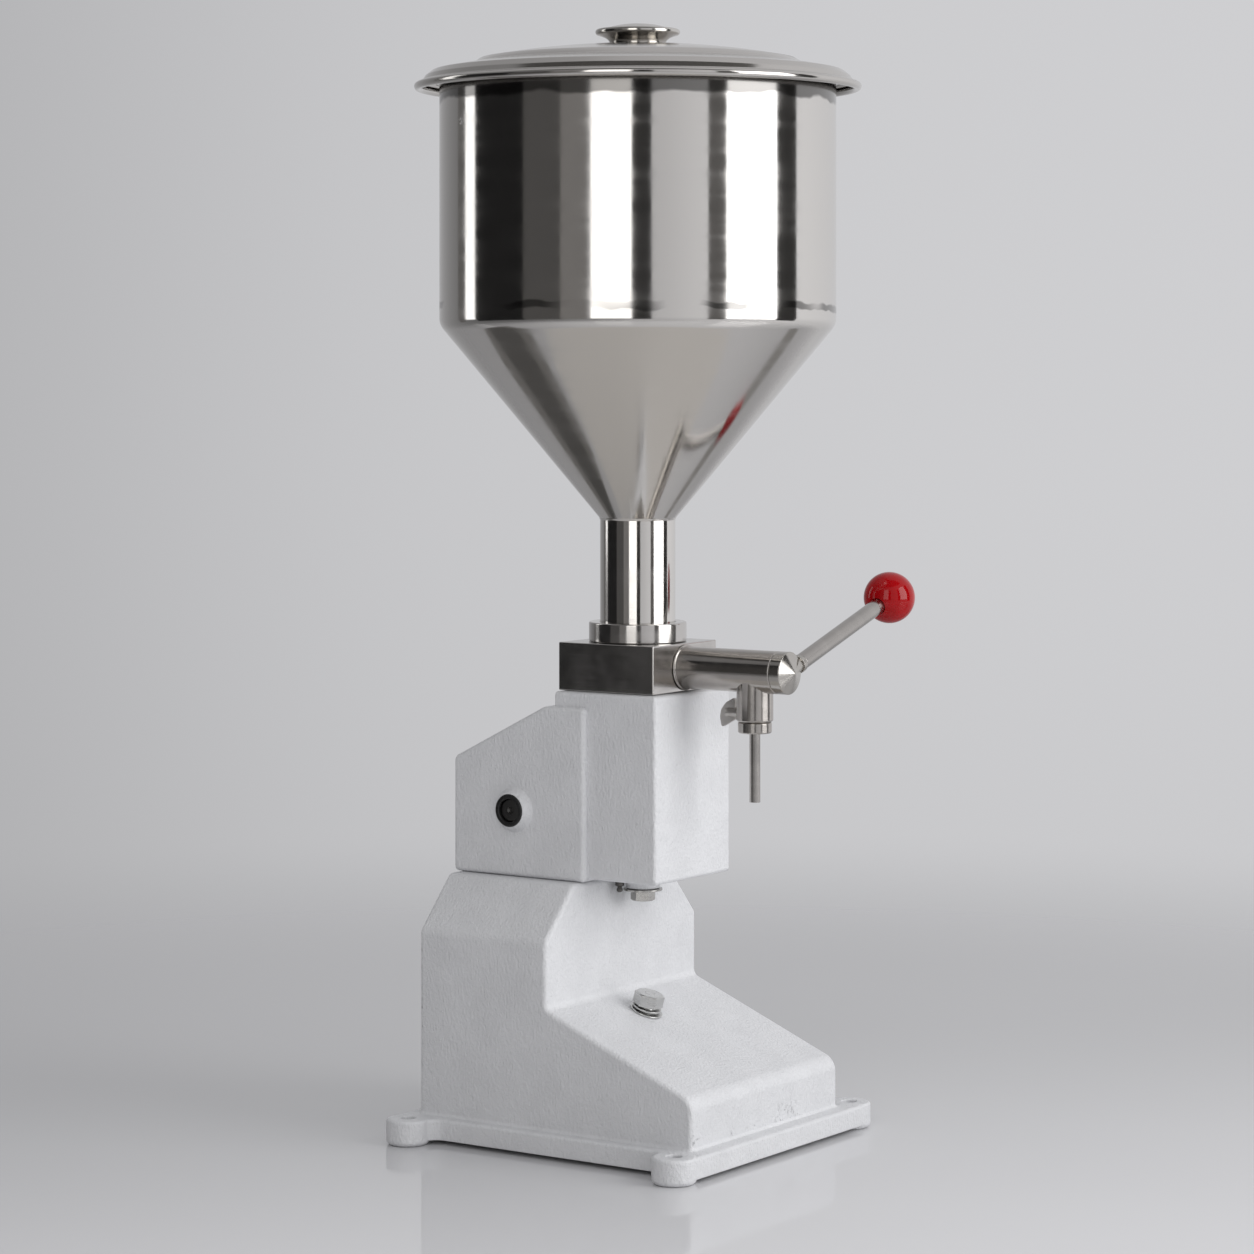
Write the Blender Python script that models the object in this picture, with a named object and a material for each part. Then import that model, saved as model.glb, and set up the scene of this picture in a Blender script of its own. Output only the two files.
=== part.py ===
# Manual paste filling machine: a painted cast stand and head, a steel piston pump under a valve
# block, a funnel hopper with a lid, and an outlet pipe with a turning plug, a lever and a nozzle.
# Metres, +Z up. The origin is on the floor under the pump's axis. The outlet faces -Y.

import math

import bmesh
import bpy
from mathutils import Matrix, Vector

for item in list(bpy.data.objects):
    bpy.data.objects.remove(item, do_unlink=True)

# Driving dimensions of the stand
stand_width = 0.190
stand_front = 0.1091
stand_back = 0.1239
stand_height = 0.186
nose_height = 0.052
ramp_top_height = 0.1025
tower_front = 0.0129
shoulder_height = 0.1487
tower_top_width = 0.122
stand_wall = 0.007
foot_width = 0.209
foot_underside = 0.003
foot_top = 0.018
foot_middle = 0.0059
lug_x = 0.114
lug_y = 0.1135
lug_radius = 0.0155

# Driving dimensions of the head
head_width = 0.106
head_front_width = 0.096
head_overhang = 0.0477
head_front_length = 0.0874
head_front_height = 0.132
front_floor_step = 0.0017
head_rear_start = 0.0099
head_rear_length = 0.1153
head_rear_height = 0.1232
head_slope_start = 0.0349
head_back_height = 0.0828
head_wall = 0.006

# Driving dimensions of the pump and its drive
pump_bore_radius = 0.020
block_width = 0.0812
block_length = 0.0813
block_height = 0.0343
shaft_y = 0.0709
shaft_rise = 0.0477
shaft_radius = 0.008
rest_angle = math.radians(17)
lifted_angle = math.radians(13)

# Driving dimensions of the outlet
pipe_radius = 0.015
pipe_bore_radius = 0.011
pipe_length = 0.0789
nozzle_reach = 0.0588
lever_angle = math.radians(17.7)
lever_length = 0.1483
ball_knob_radius = 0.0187

# Driving dimensions of the hopper and its lid
neck_radius = 0.027
neck_length = 0.0845
cone_height = 0.1384
barrel_radius = 0.142
barrel_height = 0.176
hopper_wall = 0.0015
lid_overhang = 0.018

# Clearances: between pieces that are seated, between pieces that run in each other, and what
# a cut reaches past its piece
seat_gap = 0.0003
running_gap = 0.0003
overrun = 0.002
joint_overlap = 0.001
weld_distance = 0.000001

# Sides of round pieces, by size
sides_large = 40
sides_medium = 24
sides_small = 16
sides_tiny = 10
bolt_sides = 12
ring_sides = 6
arc_steps = 3

# Heights that the pieces stack up to
head_floor = stand_height + seat_gap
front_floor = head_floor + front_floor_step
head_top = front_floor + head_front_height
shaft_z = head_floor + shaft_rise
block_bottom = head_top + seat_gap
block_top = block_bottom + block_height
block_front = -block_length / 2
outlet_z = block_bottom + block_height / 2
ramp_angle = math.atan2(ramp_top_height - nose_height, tower_front + stand_front)


# Materials
def finish(name, colour, roughness, metallic):
    material = bpy.data.materials.new(name)
    material.use_nodes = True
    shader = material.node_tree.nodes["Principled BSDF"]
    shader.inputs["Base Color"].default_value = (*colour, 1)
    shader.inputs["Roughness"].default_value = roughness
    shader.inputs["Metallic"].default_value = metallic
    return material


polished_colour = (0.62, 0.60, 0.58)
dark_steel_colour = (0.30, 0.29, 0.28)


def cast_paint(name):
    return finish(name, (0.72, 0.73, 0.75), 0.45, 0)


def polished_steel(name):
    return finish(name, polished_colour, 0.15, 1)


def satin_steel(name):
    return finish(name, polished_colour, 0.35, 1)


def zinc_steel(name):
    return finish(name, (0.55, 0.55, 0.56), 0.30, 1)


def dark_steel(name):
    return finish(name, dark_steel_colour, 0.40, 1)


def black_plastic(name):
    return finish(name, (0.02, 0.02, 0.02), 0.40, 0)


def seal_rubber(name):
    return finish(name, (0.05, 0.05, 0.05), 0.60, 0)


def red_plastic(name):
    return finish(name, (0.60, 0.01, 0.02), 0.10, 0)


# Shapes
def turned(profile, sides, sweep=math.tau):
    """A body turned about Z from (radius, height) points: a loop, or a chain from axis to axis."""
    bm = bmesh.new()
    points = [bm.verts.new((radius, 0, height)) for radius, height in profile]
    edges = [bm.edges.new(pair) for pair in zip(points, points[1:])]
    if profile[0][0] > 0:
        edges.append(bm.edges.new((points[-1], points[0])))
    bmesh.ops.spin(
        bm, geom=points + edges, cent=(0, 0, 0), axis=(0, 0, 1), angle=sweep, steps=sides
    )
    bmesh.ops.remove_doubles(bm, verts=bm.verts, dist=weld_distance)
    if sweep < math.tau:
        ends = [edge for edge in bm.edges if edge.is_boundary]
        bmesh.ops.holes_fill(bm, edges=ends, sides=0)
    bmesh.ops.recalc_face_normals(bm, faces=bm.faces)
    return bm


def rod(radius, low, high, sides=sides_small):
    return turned([(0, low), (radius, low), (radius, high), (0, high)], sides)


def ring(inner, outer, low, high, sides=sides_small, sweep=math.tau):
    loop = [(inner, low), (outer, low), (outer, high), (inner, high)]
    return turned(loop, sides, sweep)


def arc(centre, radius, start, end, steps):
    """Points of a circular arc, both ends with it."""
    turns = [start + (end - start) * step / steps for step in range(steps + 1)]
    return [
        (centre[0] + radius * math.cos(turn), centre[1] + radius * math.sin(turn))
        for turn in turns
    ]


def o_ring(middle, section, height, sides=sides_medium):
    loop = arc((middle, height), section, 0, math.tau, ring_sides)[:-1]
    return turned(loop, sides)


def prism(outline, start, end, axis):
    """An outline extruded along one axis. Its numbers are the other two axes, in XYZ order."""
    place = {
        "X": lambda a, b, along: (along, a, b),
        "Y": lambda a, b, along: (a, along, b),
        "Z": lambda a, b, along: (a, b, along),
    }[axis]
    bm = bmesh.new()
    first = [bm.verts.new(place(a, b, start)) for a, b in outline]
    last = [bm.verts.new(place(a, b, end)) for a, b in outline]
    bm.faces.new(first)
    bm.faces.new(last)
    for index, point in enumerate(first):
        after = (index + 1) % len(first)
        bm.faces.new((point, first[after], last[after], last[index]))
    bmesh.ops.recalc_face_normals(bm, faces=bm.faces)
    return bm


def box(low, high):
    bm = bmesh.new()
    low, high = Vector(low), Vector(high)
    scale = Matrix.Diagonal((*(high - low), 1))
    bmesh.ops.create_cube(bm, size=1, matrix=Matrix.Translation((low + high) / 2) @ scale)
    return bm


def hexed(bm, within):
    """Makes a bolt's turned head or nut six-sided: outside a radius, every second line moves in."""
    for vert in bm.verts:
        line = round(math.atan2(vert.co.y, vert.co.x) / math.tau * bolt_sides)
        if line % 2 and vert.co.xy.length > within:
            vert.co.xy *= math.cos(math.tau / bolt_sides)
    return bm


def hex_bolt(corner_radius, head_height, flange_radius, flange, radius, length):
    """A bolt with the underside of its head at zero and its shank along +Z."""
    profile = [(0, -head_height), (corner_radius, -head_height), (corner_radius, -flange)]
    if flange:
        profile += [(flange_radius, -flange), (flange_radius, 0)]
    profile += [(radius, 0), (radius, length), (0, length)]
    bm = turned(profile, bolt_sides)
    if not flange:
        return hexed(bm, radius + weld_distance)
    for vert in bm.verts:
        line = round(math.atan2(vert.co.y, vert.co.x) / math.tau * bolt_sides)
        on_head = vert.co.z < weld_distance - flange and vert.co.xy.length < flange_radius
        if line % 2 and on_head:
            vert.co.xy *= math.cos(math.tau / bolt_sides)
    return bm


def hex_nut(corner_radius, bore, low, high):
    return hexed(ring(bore, corner_radius, low, high, bolt_sides), bore + weld_distance)


def soften(bm, width, segments, wanted):
    """Rounds the edges that wanted() picks."""
    edges = [edge for edge in bm.edges if wanted(edge)]
    bmesh.ops.bevel(
        bm, geom=edges, offset=width, segments=segments, profile=0.5, affect="EDGES"
    )
    return bm


def moved(bm, places):
    """Copies of a shape at each place, in one mesh."""
    source = bpy.data.meshes.new("shape")
    bm.to_mesh(source)
    bm.free()
    copies = bmesh.new()
    for place in places:
        before = len(copies.verts)
        copies.from_mesh(source)
        copies.verts.ensure_lookup_table()
        bmesh.ops.translate(copies, verts=copies.verts[before:], vec=place)
    bpy.data.meshes.remove(source)
    return copies


def node(name, bm, material, location=(0, 0, 0), rotation=(0, 0, 0), parent=None):
    mesh = bpy.data.meshes.new(name)
    bm.to_mesh(mesh)
    bm.free()
    mesh.shade_smooth()
    mesh.set_sharp_from_angle(angle=math.radians(30))
    piece = bpy.data.objects.new(name, mesh)
    bpy.context.scene.collection.objects.link(piece)
    piece.location = location
    piece.rotation_euler = rotation
    piece.parent = parent
    if material:
        mesh.materials.append(material(name))
    return piece


def pivot(name, location, rotation=(0, 0, 0)):
    empty = bpy.data.objects.new(name, None)
    bpy.context.scene.collection.objects.link(empty)
    empty.location = location
    empty.rotation_euler = rotation
    return empty


def combine(piece, label, bm, operation, location=(0, 0, 0), rotation=(0, 0, 0)):
    """Joins a shape to a piece, or cuts it out. The shape is placed in the piece's parent."""
    helper = node(piece.name + "_" + label, bm, None, location, rotation, piece.parent)
    helper.hide_render = True
    helper.display_type = "WIRE"
    step = piece.modifiers.new(label, "BOOLEAN")
    step.operation = operation
    step.object = helper
    step.solver = "EXACT"


def cut(piece, label, bm, location=(0, 0, 0), rotation=(0, 0, 0)):
    combine(piece, label, bm, "DIFFERENCE", location, rotation)


def join(piece, label, bm, location=(0, 0, 0), rotation=(0, 0, 0)):
    combine(piece, label, bm, "UNION", location, rotation)


# Turns that lay a piece made along +Z towards the front, to the right or downwards
facing_front = (math.radians(90), 0, 0)
facing_right = (0, math.radians(90), 0)


def inset_outline(outline, distance):
    """The outline, listed counter-clockwise, with every side moved inwards."""
    sides = []
    for index, (x, y) in enumerate(outline):
        after_x, after_y = outline[(index + 1) % len(outline)]
        along = Vector((after_x - x, after_y - y)).normalized()
        inwards = Vector((-along.y, along.x))
        sides.append((Vector((x, y)) + inwards * distance, along))
    corners = []
    for index, (point, along) in enumerate(sides):
        before, before_along = sides[index - 1]
        cross = before_along.x * along.y - before_along.y * along.x
        gap = point - before
        reach = (gap.x * along.y - gap.y * along.x) / cross
        corners.append(tuple(before + before_along * reach))
    return corners


def four_places(half_x, front_y, back_y):
    """The four places of a bolt pattern, by the names of its corners."""
    return {
        "front_left": (-half_x, front_y, 0),
        "front_right": (half_x, front_y, 0),
        "back_left": (-half_x, back_y, 0),
        "back_right": (half_x, back_y, 0),
    }


def at_places(name, places, shape, material, height):
    """One object for each place, all with the same shape."""
    for corner, (x, y, _) in places.items():
        node(name + "_" + corner, shape(), material, (x, y, height))


# Stand: its side outline, extruded across, with the tower's shoulders cut off
nose_rounding = 0.008
casting_rounding = 0.0035
ramp_fillet = 0.006
foot_rounding = 0.0025
lug_blend = 0.010
lug_edge = 0.004
lug_pad_rise = 0.0004
lug_hole_radius = 0.0055


def stand_outline(bottom, top_of_ramp):
    return [
        (-stand_front, bottom),
        (stand_back, bottom),
        (stand_back, stand_height),
        (tower_front, stand_height),
        *top_of_ramp,
        (-stand_front, nose_height),
    ]


def ramp_fillet_points():
    """A concave arc that touches the ramp and the tower's front wall."""
    between = math.radians(90) + ramp_angle
    tangent = ramp_fillet / math.tan(between / 2)
    centre = (tower_front - ramp_fillet, ramp_top_height + tangent)
    return arc(centre, ramp_fillet, 0, ramp_angle - math.radians(90), arc_steps)


def cut_shoulders(bm, inset):
    """Takes both shoulders off the tower, each by one slanted plane."""
    run = (stand_width - tower_top_width) / 2
    rise = stand_height - shoulder_height
    for side in (-1, 1):
        normal = Vector((side * rise, 0, run)).normalized()
        on_plane = Vector((side * stand_width / 2, 0, shoulder_height)) - normal * inset
        geometry = bm.verts[:] + bm.edges[:] + bm.faces[:]
        cut_edges = bmesh.ops.bisect_plane(
            bm,
            geom=geometry,
            dist=weld_distance,
            plane_co=on_plane,
            plane_no=normal,
            clear_outer=True,
        )["geom_cut"]
        loops = [part for part in cut_edges if isinstance(part, bmesh.types.BMEdge)]
        bmesh.ops.holes_fill(bm, edges=loops, sides=0)
    bmesh.ops.recalc_face_normals(bm, faces=bm.faces)
    return bm


def foot_outline(radius):
    """The plate with a lug at each corner. Hollow arcs lead from its sides into the lugs."""
    centre_x = foot_width / 2 + lug_blend
    reach = radius + lug_blend
    centre_y = lug_y - math.sqrt(reach**2 - (lug_x - centre_x) ** 2)
    towards = math.atan2(lug_y - centre_y, lug_x - centre_x)
    corner = arc((centre_x, centre_y), lug_blend, math.pi, towards, arc_steps)
    corner += arc((lug_x, lug_y), radius, towards - math.pi, math.pi / 2, 2 * arc_steps)[1:]
    back = corner + [(-x, y) for x, y in reversed(corner)]
    outline = back + [(-x, -y) for x, y in back]
    return [(x, y + foot_middle) for x, y in outline]


def is_convex(edge):
    return len(edge.link_faces) == 2 and edge.calc_face_angle_signed() > math.radians(25)


stand_bottom = foot_underside + joint_overlap
stand = prism(
    stand_outline(stand_bottom, ramp_fillet_points()), -stand_width / 2, stand_width / 2, "X"
)
cut_shoulders(stand, 0)
soften(
    stand,
    nose_rounding,
    2,
    lambda edge: all(abs(v.co.z - nose_height) < weld_distance for v in edge.verts),
)
soften(
    stand,
    casting_rounding,
    1,
    lambda edge: is_convex(edge) and any(v.co.z > foot_top for v in edge.verts),
)
base_casting = node("base_casting", stand, cast_paint)
plate = prism(foot_outline(lug_radius - lug_pad_rise), foot_underside, foot_top, "Z")
soften(
    plate,
    foot_rounding,
    1,
    lambda edge: all(abs(v.co.z - foot_top) < weld_distance for v in edge.verts),
)
join(base_casting, "foot", plate)
pad_top = foot_top + lug_pad_rise
pad = turned(
    [
        (0, 0),
        (lug_radius - lug_edge, 0),
        (lug_radius, lug_edge),
        (lug_radius, pad_top),
        (0, pad_top),
    ],
    sides_small,
)
lug_places = four_places(lug_x, foot_middle - lug_y, foot_middle + lug_y).values()
join(base_casting, "lugs", moved(pad, lug_places))
inside = inset_outline(stand_outline(-overrun, [(tower_front, ramp_top_height)]), stand_wall)
inside = [(y, -overrun if z < foot_top else z) for y, z in inside]
inner_width = stand_width / 2 - stand_wall
cut(
    base_casting,
    "hollow",
    cut_shoulders(prism(inside, -inner_width, inner_width, "X"), stand_wall),
)
lug_holes = moved(rod(lug_hole_radius, -overrun, pad_top + overrun, sides_tiny), lug_places)
cut(base_casting, "lug_holes", lug_holes)

# Head bolts: four flanged bolts, up through the tower's top wall into bosses in the head
head_bolt_x = 0.036
head_bolt_front = 0.032
head_bolt_back = 0.108
head_bolt_radius = 0.004
head_bolt_reach = 0.0115
head_bolt_head = 0.007
head_bolt_corner = 0.0075
head_bolt_flange_radius = 0.0085
head_bolt_flange = 0.0016
boss_radius = 0.012
boss_height = 0.014
service_hole_width = 0.044
service_hole_front = 0.048
service_hole_back = 0.092

head_bolt_places = four_places(head_bolt_x, head_bolt_front, head_bolt_back)
wall_under = stand_height - stand_wall
bearing = wall_under - seat_gap
bolt_tip = head_floor + head_bolt_reach
bolt_hole = head_bolt_radius + seat_gap


def head_bolt():
    return hex_bolt(
        head_bolt_corner,
        head_bolt_head,
        head_bolt_flange_radius,
        head_bolt_flange,
        head_bolt_radius,
        bolt_tip - bearing,
    )


at_places("head_bolt", head_bolt_places, head_bolt, zinc_steel, bearing)
through_tower = rod(bolt_hole, wall_under - overrun, stand_height + overrun, sides_tiny)
cut(base_casting, "head_bolt_holes", moved(through_tower, head_bolt_places.values()))


def service_hole():
    """The hand hole through the tower's top wall and the head's floor."""
    return box(
        (-service_hole_width / 2, service_hole_front, wall_under - overrun),
        (service_hole_width / 2, service_hole_back, head_floor + head_wall + overrun),
    )


cut(base_casting, "service_hole", service_hole())

# Head: a tall front box over the pump and a wider, sloping housing over the shaft
hub_radius = 0.016
hub_end_radius = 0.0126
hub_length = 0.0065
bush_radius = 0.0115
head_rounding = 0.0025

front_back = -head_overhang + head_front_length
rear_back = head_rear_start + head_rear_length
rear_outline = [
    (head_rear_start, head_floor),
    (rear_back, head_floor),
    (rear_back, head_floor + head_back_height),
    (head_rear_start + head_slope_start, head_floor + head_rear_height),
    (head_rear_start, head_floor + head_rear_height),
]
front_box = box(
    (-head_front_width / 2, -head_overhang, front_floor),
    (head_front_width / 2, front_back, head_top),
)
soften(front_box, head_rounding, 1, is_convex)
head_casting = node("head_casting", front_box, cast_paint)
rear = prism(rear_outline, -head_width / 2, head_width / 2, "X")
join(head_casting, "rear", soften(rear, head_rounding, 1, is_convex))
hub_end = head_width / 2 + hub_length
hub = [(0, -hub_end), (hub_end_radius, -hub_end), (hub_radius, -head_width / 2)]
hub += [(radius, -along) for radius, along in reversed(hub)]
join(head_casting, "hubs", turned(hub, sides_medium), (0, shaft_y, shaft_z), facing_right)

# Stroke bolt: a screw under the head's floor, in a cast pad. Its tip stops the rocker arm
stroke_y = -0.0045
stroke_radius = 0.005
stroke_head_corner = 0.0088
stroke_head_height = 0.007
stroke_washer_radius = 0.014
stroke_washer_thickness = 0.0015
stroke_pad_radius = 0.012
stroke_pad_depth = 0.0097
arm_half_height = 0.008

arm_reach = shaft_y
pad_bottom = front_floor - stroke_pad_depth
stroke_washer_top = pad_bottom - seat_gap
stroke_bearing = stroke_washer_top - stroke_washer_thickness - seat_gap
stroke_hole = stroke_radius + seat_gap
arm_over_bolt = (
    shaft_z
    - (shaft_y - stroke_y + stroke_radius) * math.tan(rest_angle)
    - arm_half_height / math.cos(rest_angle)
)
stroke_tip = arm_over_bolt - seat_gap
stroke_length = stroke_tip - stroke_bearing
node(
    "stroke_bolt",
    hex_bolt(stroke_head_corner, stroke_head_height, 0, 0, stroke_radius, stroke_length),
    zinc_steel,
    (0, stroke_y, stroke_bearing),
)
node(
    "stroke_washer",
    ring(stroke_hole, stroke_washer_radius, -stroke_washer_thickness, 0),
    zinc_steel,
    (0, stroke_y, stroke_washer_top),
)
join(
    head_casting,
    "stroke_pad",
    rod(stroke_pad_radius, pad_bottom, front_floor + head_wall / 2),
    (0, stroke_y, 0),
)

# Hollow of the head, and its bosses, bores and holes
front_hollow = box(
    (-head_front_width / 2 + head_wall, -head_overhang + head_wall, front_floor + head_wall),
    (head_front_width / 2 - head_wall, front_back - head_wall, head_top - head_wall),
)
cut(head_casting, "front_hollow", front_hollow)
rear_half = head_width / 2 - head_wall
rear_hollow = prism(inset_outline(rear_outline, head_wall), -rear_half, rear_half, "X")
cut(head_casting, "rear_hollow", rear_hollow)
boss = rod(boss_radius, head_floor + head_wall / 2, head_floor + boss_height)
join(head_casting, "bosses", moved(boss, head_bolt_places.values()))
into_boss = rod(bolt_hole, head_floor - overrun, bolt_tip + seat_gap, sides_tiny)
cut(head_casting, "head_bolt_holes", moved(into_boss, head_bolt_places.values()))
cut(head_casting, "service_hole", service_hole())
bush_seat = rod(bush_radius + seat_gap, -hub_end - overrun, hub_end + overrun, sides_medium)
cut(head_casting, "shaft_bore", bush_seat, (0, shaft_y, shaft_z), facing_right)
stroke_bore = rod(stroke_hole, pad_bottom - overrun, front_floor + head_wall + overrun)
cut(head_casting, "stroke_hole", stroke_bore, (0, stroke_y, 0))

# Grease nipple beside the stroke bolt
nipple_x = -0.014
nipple_y = 0.0061
nipple_radius = 0.0032
nipple_tip_radius = 0.0022
nipple_length = 0.0122
nipple_waist = 0.003
nipple_thread_radius = 0.0022
nipple_top = -seat_gap
nipple_thread_top = head_wall - seat_gap
nipple = turned(
    [
        (0, -nipple_length),
        (nipple_tip_radius, -nipple_length),
        (nipple_radius, nipple_waist - nipple_length),
        (nipple_radius, nipple_top),
        (nipple_thread_radius, nipple_top),
        (nipple_thread_radius, nipple_thread_top),
        (0, nipple_thread_top),
    ],
    sides_tiny,
)
node("grease_nipple", nipple, dark_steel, (nipple_x, nipple_y, front_floor))
nipple_hole = rod(nipple_thread_radius + seat_gap, -overrun, head_wall + overrun, sides_tiny)
cut(head_casting, "nipple_hole", nipple_hole, (nipple_x, nipple_y, front_floor))

# Ramp bolt with its washers over the ramp and its nut under it. The flat washer lies on the
# ramp, the bolt stands a little more upright, and the spring washer lies between the two.
ramp_bolt_x = -0.0084
ramp_bolt_y = -0.0127
ramp_bolt_radius = 0.006
ramp_bolt_corner = 0.011
ramp_bolt_head = 0.0088
ramp_bolt_lean = math.radians(7)
washer_clearance = 0.0006
flat_washer_radius = 0.012
flat_washer_thickness = 0.0012
spring_washer_radius = 0.0105
spring_washer_thickness = 0.0014
spring_washer_sweep = math.radians(348)
ramp_nut_height = 0.010
ramp_bolt_end = 0.003

ramp_at_bolt = nose_height + (ramp_bolt_y + stand_front) * math.tan(ramp_angle)
ramp_place = (ramp_bolt_x, ramp_bolt_y, ramp_at_bolt)
bolt_angle = ramp_angle - ramp_bolt_lean
into_ramp = (math.pi + ramp_angle, 0, 0)
along_bolt = (math.pi + bolt_angle, 0, 0)
half_way = (math.pi + (ramp_angle + bolt_angle) / 2, 0, 0)
washer_hole = ramp_bolt_radius + washer_clearance
ramp_hole = ramp_bolt_radius + seat_gap
wedge = seat_gap + spring_washer_radius * math.tan(ramp_bolt_lean / 2)
flat_top = -seat_gap - flat_washer_thickness
spring_top = flat_top - wedge - spring_washer_thickness
ramp_bearing = spring_top - wedge
nut_start = stand_wall + seat_gap + ramp_bolt_corner * math.tan(ramp_bolt_lean)
ramp_bolt_length = nut_start + ramp_nut_height + ramp_bolt_end - ramp_bearing
node(
    "ramp_bolt",
    hex_bolt(ramp_bolt_corner, ramp_bolt_head, 0, 0, ramp_bolt_radius, ramp_bolt_length),
    zinc_steel,
    (
        ramp_bolt_x,
        ramp_bolt_y + ramp_bearing * math.sin(bolt_angle),
        ramp_at_bolt - ramp_bearing * math.cos(bolt_angle),
    ),
    along_bolt,
)
node(
    "ramp_flat_washer",
    ring(washer_hole, flat_washer_radius, flat_top, -seat_gap),
    zinc_steel,
    ramp_place,
    into_ramp,
)
node(
    "ramp_spring_washer",
    ring(
        washer_hole,
        spring_washer_radius,
        spring_top,
        flat_top - wedge,
        sides_small,
        spring_washer_sweep,
    ),
    zinc_steel,
    ramp_place,
    half_way,
)
node(
    "ramp_bolt_nut",
    hex_nut(ramp_bolt_corner, ramp_hole, nut_start, nut_start + ramp_nut_height),
    zinc_steel,
    ramp_place,
    along_bolt,
)
ramp_bore = rod(ramp_hole, -overrun, stand_wall + overrun, bolt_sides)
cut(base_casting, "ramp_hole", ramp_bore, ramp_place, along_bolt)

# Shaft across the head in two bushes, held by a circlip at each
bush_proud = 0.0008
shaft_recess = 0.0025
circlip_radius = 0.011
circlip_inner = 0.0072
circlip_groove = 0.0069
circlip_thickness = 0.0012
circlip_sweep = math.radians(315)
key_width = 0.005
key_height = 0.005
key_length = 0.024
key_sink = 0.003

bush_start = rear_half + seat_gap
bush_end = hub_end + bush_proud
shaft_end = bush_end - shaft_recess
circlip_end = rear_half
circlip_start = circlip_end - circlip_thickness
bush_bore = shaft_radius + running_gap


ends = {"left": -1, "right": 1}


def along_shaft(side, start, end):
    """Two places along the shaft, the lower one first, on its left or its right."""
    return sorted((side * start, side * end))


def circlip_slot(side):
    low, high = along_shaft(side, circlip_start - seat_gap, circlip_end + seat_gap)
    return ring(circlip_groove, shaft_radius + overrun, low, high, sides_small)


rocker_pivot = pivot("rocker_pivot", (0, shaft_y, shaft_z), (rest_angle, 0, 0))
rocker_shaft = node(
    "rocker_shaft",
    rod(shaft_radius, -shaft_end, shaft_end, sides_medium),
    dark_steel,
    (0, 0, 0),
    facing_right,
    rocker_pivot,
)
for end, side in ends.items():
    low, high = along_shaft(side, bush_start, bush_end)
    node(
        "shaft_bush_" + end,
        ring(bush_bore, bush_radius, low, high, sides_medium),
        black_plastic,
        (0, shaft_y, shaft_z),
        facing_right,
    )
    low, high = along_shaft(side, circlip_start, circlip_end)
    node(
        "shaft_circlip_" + end,
        ring(circlip_inner, circlip_radius, low, high, sides_small, circlip_sweep),
        dark_steel,
        (0, 0, 0),
        facing_right,
        rocker_pivot,
    )
    cut(rocker_shaft, "circlip_groove_" + end, circlip_slot(side), (0, 0, 0), facing_right)
key_bottom = shaft_radius - key_sink
key_top = key_bottom + key_height


def key_shape(gap, bottom, top, length):
    return box(
        (-length / 2, -key_width / 2 - gap, bottom), (length / 2, key_width / 2 + gap, top)
    )


node(
    "arm_key",
    key_shape(0, key_bottom, key_top, key_length),
    zinc_steel,
    parent=rocker_pivot,
)
shaft_keyseat = key_shape(
    seat_gap, key_bottom - seat_gap, shaft_radius + overrun, key_length + 2 * seat_gap
)
cut(rocker_shaft, "keyseat", shaft_keyseat)

# Rocker arm: a hub keyed to the shaft and a bar whose slot carries the rod's pin
arm_hub_radius = 0.016
arm_hub_width = 0.032
arm_half_width = 0.006
pin_radius = 0.004
slot_clearance = 0.0006
arm_tip_wall = 0.0037

pin_near = arm_reach
pin_far = arm_reach / math.cos(max(rest_angle, lifted_angle))
slot_radius = pin_radius + slot_clearance
arm_length = pin_far + slot_radius + arm_tip_wall
arm_hub = rod(arm_hub_radius, -arm_hub_width / 2, arm_hub_width / 2, sides_medium)
rocker_arm = node("rocker_arm", arm_hub, dark_steel, (0, 0, 0), facing_right, rocker_pivot)
arm_root = (shaft_radius + arm_hub_radius) / 2
arm_bar = box(
    (-arm_half_width, -arm_length, -arm_half_height),
    (arm_half_width, -arm_root, arm_half_height),
)
join(rocker_arm, "bar", arm_bar)
slot_outline = arc((-pin_far, 0), slot_radius, math.pi / 2, 1.5 * math.pi, 2 * arc_steps)
slot_outline += arc((-pin_near, 0), slot_radius, -math.pi / 2, math.pi / 2, 2 * arc_steps)
slot = prism(slot_outline, -arm_half_width - overrun, arm_half_width + overrun, "X")
cut(rocker_arm, "slot", slot)
arm_bore = rod(
    shaft_radius + seat_gap,
    -arm_hub_width / 2 - overrun,
    arm_hub_width / 2 + overrun,
    sides_medium,
)
keyway = key_shape(seat_gap, 0, key_top + seat_gap, arm_hub_width + 2 * overrun)
cut(rocker_arm, "keyway", keyway)
cut(rocker_arm, "bore", arm_bore, (0, 0, 0), facing_right)

# Valve block: the pump's chamber, with the hopper's thread above it and the pipe's bore ahead
block_rounding = 0.0008
flange_radius = 0.029
flange_thickness = 0.004
shelf_depth = 0.0083
shelf_radius = 0.0223
spigot_depth = 0.010
spigot_radius = 0.013
port_radius = 0.008
block_screw_offset = 0.026
block_screw_radius = 0.004
block_screw_depth = 0.012
block_screw_head_radius = 0.0065
block_screw_head = 0.008

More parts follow.
